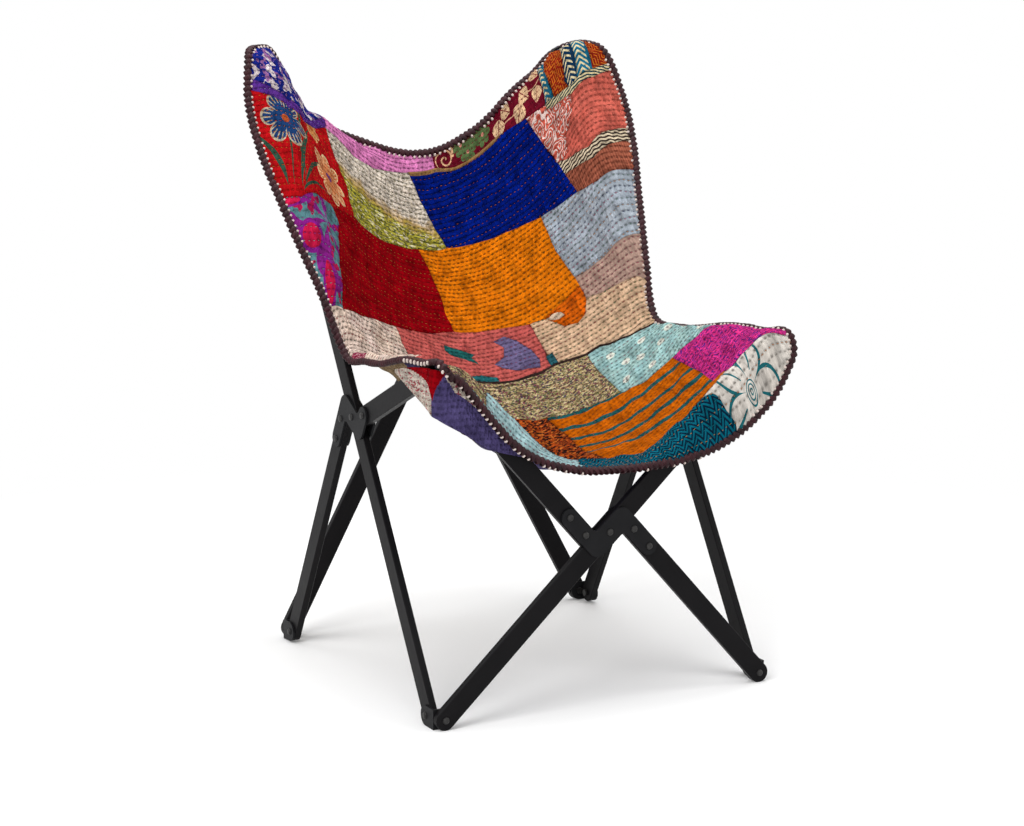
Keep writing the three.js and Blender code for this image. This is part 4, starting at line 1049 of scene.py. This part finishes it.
for name, body, slot, first, last in panels:
    numbers, across, down, row = stitch_places(first, last)
    u, v = numbers.T
    normals = cloth_normal(u, v)
    lift = fold_height(across, u, down) + cover_thickness / 2
    shades = [patches[k][2][r % len(patches[k][2])] for k, r in zip(patch_numbers(numbers), row)]
    stitches = stitching.grown(
        name + "_stitches", sling_place(u, v) + normals * lift[:, None], face=normals,
        run=sling_place(u + 0.01, v) - sling_place(u - 0.01, v), thread=np.array([(*t, 1) for t in shades]))
    hang(stitches, body)

# Laced edge
# A dark brown leather lace is whipped slantwise round the cover's edge over a rolled cord. Pale cotton
# knots show in some of the holes along its inner side, and from below round the front.
lace_pitch, lace_reach, lace_height, strand_width, strand_height = 0.0084, 0.0054, 0.0038, 0.0041, 0.0011
cord_radius, knot_radius, knot_reach = 0.0037, 0.0023, 0.0060
lace_inset, inner_share, smoothings = 0.002, 0.985, 8
below_from_row, below_to, few_knots_from, few_knots, knot_scale_below = 9.0, 0.75, -0.3, 0.15, 0.84

leather = Finish("lace_leather", Roughness=0.5, Specular_IOR_Level=0.18)
grain, stain = leather.noise(leather.object_place(), 480, 4), leather.noise(leather.object_place(), 90, 2)
leather.give("Base Color", leather.mix((stain * 1.6 - 0.3).of("MAXIMUM", 0.0), "14070a", "3c171e"))
leather.give("Roughness", grain * 0.25 + 0.38)
leather.bump(grain, 0.0005)
knot_cotton = Finish("knot_cotton", Roughness=0.9, Specular_IOR_Level=0.1)
knot_fuzz = knot_cotton.noise(knot_cotton.object_place(), 300, 2)
knot_cotton.give("Base Color", knot_cotton.mix(knot_fuzz, "a8948c", "e4d8d0"))

whip = Weave("whip_lacing", **{
    "Lace Height": lace_height, "Lace Reach": lace_reach, "Strand Height": strand_height,
    "Strand Width": strand_width, "Slant": math.radians(42), "Knot Share": 0.8})
height, reach, thin, broad, slant, knot_share = whip.sizes
at_knot = whip.node("GeometryNodeInputIndex") % 2.0
ring = whip.moved(whip.ring(14), Scale=whip.vector(height, reach, 1.0))
strand = whip.moved(whip.ring(7), Scale=whip.vector(thin, broad, 1.0))
wrap = whip.node("GeometryNodeCurveToMesh", {}, {"Curve": ring, "Profile Curve": strand})
wrap = whip.moved(wrap, Rotation=whip.vector(slant, 0.0, 0.0))
jitter = whip.between((0.92, 0.95, 0.85), (1.06, 1.06, 1.2), 2)
knotted = whip.node("FunctionNodeRandomValue", {"data_type": "BOOLEAN"}, {
    "Probability": knot_share * whip.read("knotted", "FLOAT"), "Seed": 9}, 3)
knot = whip.node("GeometryNodeMeshIcoSphere", {}, {"Radius": knot_radius, "Subdivisions": 2})
knot = whip.moved(knot, Translation=(0.0, knot_reach, 0.0), Scale=(1.6, 1.1, 1.0))
cord = whip.node("GeometryNodeMeshToPoints", {}, {0: whip.points})
cord = whip.node("GeometryNodePointsToCurves", {}, {0: cord})
cord = whip.node("GeometryNodeCurveToMesh", {}, {"Curve": cord, "Profile Curve": whip.ring(8, cord_radius)})
whip.ends_in(
    (whip.on_points(wrap, Selection=1 - at_knot, Scale=jitter), leather),
    (whip.on_points(knot, "knot_side", Selection=at_knot * knotted, Scale=whip.read("drawn_in")), knot_cotton),
    (cord, leather))


def edge_of_panel(first, last):
    """The free edge from one side of the crease round to the other."""
    outline = cut_outline(first, last)
    along_crease = (np.abs(outline[:, 1] - crease_row) < 1e-6) & (np.abs(outline[:, 0]) < 1)
    start = int(np.argmax(along_crease & ~np.roll(along_crease, -1))) + 1
    outline = np.roll(outline, -start, axis=0)
    return outline[:len(outline) - int(along_crease.sum())]


def run_length(points):
    steps = np.linalg.norm(np.diff(points, axis=0), axis=1)
    return np.concatenate([[0], np.cumsum(steps)])


for name, body, slot, first, last in panels:
    rim = edge_of_panel(first, last)
    edge = sling_place(rim[:, 0], rim[:, 1])
    inward = sling_place(rim[:, 0] * inner_share, np.clip(rim[:, 1], 0.1, front_row - 0.1)) - edge
    edge = edge + inward / np.maximum(np.linalg.norm(inward, axis=1, keepdims=True), 1e-9) * lace_inset
    for _ in range(smoothings):
        edge[1:-1] = (edge[:-2] + edge[1:-1] * 2 + edge[2:]) / 4
    length = run_length(edge)
    at = np.linspace(0, length[-1], int(length[-1] / lace_pitch) * 2 + 1)
    values = (edge, np.gradient(edge, axis=0), cloth_normal(rim[:, 0], rim[:, 1]), rim)
    place, run, face, at_rim = (np.stack([np.interp(at, length, column) for column in v.T], 1) for v in values)
    across, row = at_rim.T[..., None]
    below = (row > below_from_row) & (across < below_to)  # knotted from below round the front
    shown = np.where(below & (across > few_knots_from), few_knots, 1.0)
    drawn_in = np.where(below, knot_scale_below, 1.0)
    lacing = whip.grown(name + "_lacing", place, run=run, face=face, knot_side=face * np.where(below, -1, 1),
                        knotted=np.repeat(shown, 4, 1), drawn_in=np.repeat(drawn_in, 4, 1))
    hang(lacing, body)

# Corner pockets
# Each corner of the cover is folded over into a pocket of the same quilting, sewn to the underside, that
# slips over a pair of bar ends. The front left one shows its patches below the laced edge.
pocket_thickness, pocket_clearance, hem_thickness = 0.003, 0.001, 0.0022
front_drop, rear_drop = 0.072, 0.120
pocket_standoff = pocket_thickness / 2 + pocket_clearance
front_top_gap, rear_top_gap, front_hem_gap = 0.0180, 0.0085, 0.0090
outside_width = frame_width / 2 + pocket_standoff
pocket_columns, pocket_lines = 130, 30


def front_pocket_path(side):
    height, hem = front_top - front_top_gap, front_top - front_hem_gap

    def place(x, y, top, low):
        return (side * x, y, top), (side * x, y, hem - low * front_drop)

    def inward(steps, low):
        x, under = foot_width - steps * front_drop, front_top_gap * min(0.5, steps * 0.3)
        return place(x, -pocket_standoff, front_hub + x * front_slope + bar_top_rise - under, low)

    path = [place(outside_width, back * front_drop, height - top * front_drop, low)
            for back, top, low in ((1.6, 0.12, 0.30), (0.9, -0.02, 0.55), (0.2, -0.10, 0.80))]
    path += [place(outside_width, pocket_thickness, height + 0.10 * front_drop, 0.88),
             place(outside_width - pocket_thickness, -pocket_standoff, height + 0.10 * front_drop, 0.92),
             place(foot_width, -pocket_standoff, height + 0.04 * front_drop, 1.04)]
    return path + [inward(*pair) for pair in ((0.4, 1.27), (0.9, 1.58), (1.4, 1.74), (1.94, 1.86))]


def rear_pocket_path(side):
    top = rear_top - rear_top_gap

    def back_face(height):
        leaning = (height - rear_tip_height) * math.tan(rear_lean)
        return rear_tip[0] + leaning + (side_setback + pocket_standoff) / math.cos(rear_lean)

    def place(x, forward, high, low):
        upper, lower = top - high * rear_drop, top - low * rear_drop
        return (side * x, back_face(upper) - forward, upper), (side * x, back_face(lower) - forward, lower)

    path = [place(outside_width, forward * rear_drop, high, 1.0)
            for forward, high in ((0.95, 0.85), (0.65, 0.45), (0.3, 0.12))]
    path += [place(outside_width, pocket_thickness, 0.02, 1.0), place(outside_width - pocket_thickness, 0, 0, 1.0)]
    return path + [place(foot_width - steps * rear_drop, 0, high, low)
                   for steps, high, low in ((0, 0, 1.0), (0.3, 0.58, 1.0), (0.55, 0.92, 0.98))]


pocket_cloths = {
    "front_left": [
        (quilt("pocket_violet", plain("453c66", "574e7c"), 0.9, 0.3), None),
        (quilt("pocket_white", speckled("c4b8ac", "b0a094", "9c4a50"), 0.9, 0.3), [
            (-1, -1), (0.33, -1), (0.33, 2), (-1, 2)]),
        (quilt("pocket_red", plain("7c0008", "960612"), 0.8, 0.3), [
            (0.06, -1), (0.06, 0), (0.36, 0.66), (0.56, 0.0), (0.56, -1)]),
        (quilt("pocket_hem", speckled("cabeb0", "b4a498", "a0505c"), 0.9, 0.3), [
            (0.56, -1), (0.56, 0.10), (0.61, 0.30), (0.69, 0.30), (0.76, 0.26), (0.83, 0.10), (0.86, -1)])],
    "front_right": [(quilt("pocket_rust", plaid, 0.9, 0.3), None)],
    "rear_left": [(quilt("pocket_plum", plain("52182e", "6a2440"), 0.9, 0.3), None)],
    "rear_right": [(quilt("pocket_blue", plain("122460", "20387c"), 0.9, 0.3), None)],
}


def sew_pocket(name, path, cloths):
    share, down = np.linspace(0, 1, pocket_columns + 1), np.linspace(0, 1, pocket_lines + 1)
    upper, lower = (smooth_curve(np.broadcast_to(e, share.shape + e.shape), share) for e in map(np.array, zip(*path)))
    place = upper + (lower - upper) * down[:, None, None] - np.array([0, middle_of_box, 0])
    along = place[..., 2].max() - place[..., 2]
    across = np.broadcast_to(run_length(upper), along.shape)
    index = np.arange(along.size).reshape(along.shape)
    faces = np.stack([index[:-1, :-1], index[:-1, 1:], index[1:, 1:], index[1:, :-1]], -1).reshape(-1, 4)
    mesh = cloth_mesh(name, place.reshape(-1, 3), faces, across, along)
    middles = np.stack(np.meshgrid(share[:-1] + share[1] / 2, down[:-1] + down[1] / 2), -1).reshape(-1, 2)
    number = np.zeros(len(middles), int)
    for slot, (material, area) in enumerate(cloths):
        mesh.materials.append(material)
        if area:
            number[inside(middles, np.array(area, float))] = slot
    mesh.polygons.foreach_set("material_index", number)
    piece, made = thickened(name, mesh, hem_thickness)
    made.shade_smooth()
    return piece


for corner, body in (("front_left", "left_arm"), ("front_right", "right_arm"),
                     ("rear_left", "left_straight"), ("rear_right", "right_straight")):
    end, _, hand = corner.partition("_")
    side = -1 if hand == "left" else 1
    pocket_path, flat, area = {"front": (front_pocket_path, (0.24, 0.12), 0.0125),
                               "rear": (rear_pocket_path, (0.19, 0.12), 0.0182)}[end]
    pocket = sew_pocket(corner + "_pocket_cloth", pocket_path(side), pocket_cloths[corner])
    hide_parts(corner + "_pocket")
    hang(pocket, body)

# Floor and light
# A plain white floor that runs into a white surround, one broad soft lamp high at the left front and
# two weaker ones that open the shadows.
floor_white = Finish("studio_floor", Roughness=0.9, Specular_IOR_Level=0.0, Base_Color=(0.93, 0.93, 0.93),
                     Emission_Color=(1, 1, 1), Emission_Strength=0.08)
flat_spot = floor_white.object_place((1, 1, 0))
away = floor_white.node("ShaderNodeVectorMath", {"operation": "LENGTH"}, {0: flat_spot}, 1)
far = ((away - 0.75) / 0.7).of("MAXIMUM", 0.0).of("MINIMUM", 1.0)
glow = floor_white.node("ShaderNodeEmission", {}, {"Color": (1, 1, 1), "Strength": 1.0})
surface = Reading(floor_white, floor_white.shader.outputs[0])
blended = floor_white.node("ShaderNodeMixShader", {}, {0: far, 1: surface, 2: glow})
floor_white.feed(floor_white.tree.nodes["Material Output"].inputs[0], blended)
floor_mesh = bpy.data.meshes.new("floor")
floor_mesh.from_pydata([(-60, -60, 0), (60, -60, 0), (60, 60, 0), (-60, 60, 0)], [], [(0, 1, 2, 3)])
floor_mesh.materials.append(floor_white.material)
floor = placed("floor", floor_mesh)

for name, place, size, power in (
        ("key", (-3.0, -1.7, 3.0), 2.4, 110), ("fill", (2.8, -2.2, 2.0), 2.6, 27), ("top", (0.2, 0.2, 3.4), 2.6, 74)):
    lamp = bpy.data.lights.new(name, "AREA")
    lamp.shape, lamp.size, lamp.energy = "SQUARE", size, power
    holder = placed(name, lamp)
    holder.location = place
    holder.rotation_euler = (Vector((0, 0, 0.4)) - Vector(place)).to_track_quat("-Z", "Y").to_euler()

surround = Nodes()
world = bpy.context.scene.world = bpy.data.worlds.new("surround")
world.use_nodes = True
surround.tree = world.node_tree
seen, glossy, through = (surround.node("ShaderNodeLightPath", out=ray)
                         for ray in ("Is Camera Ray", "Is Glossy Ray", "Is Transmission Ray"))
white_where = seen.of("MAXIMUM", glossy).of("MAXIMUM", through)
level = surround.node("ShaderNodeMix", {"data_type": "FLOAT"}, {0: white_where, 2: 0.46, 3: 1.0})
ambient = surround.tree.nodes["Background"]
surround.feed(ambient.inputs["Color"], (1, 1, 1))
surround.feed(ambient.inputs["Strength"], level)
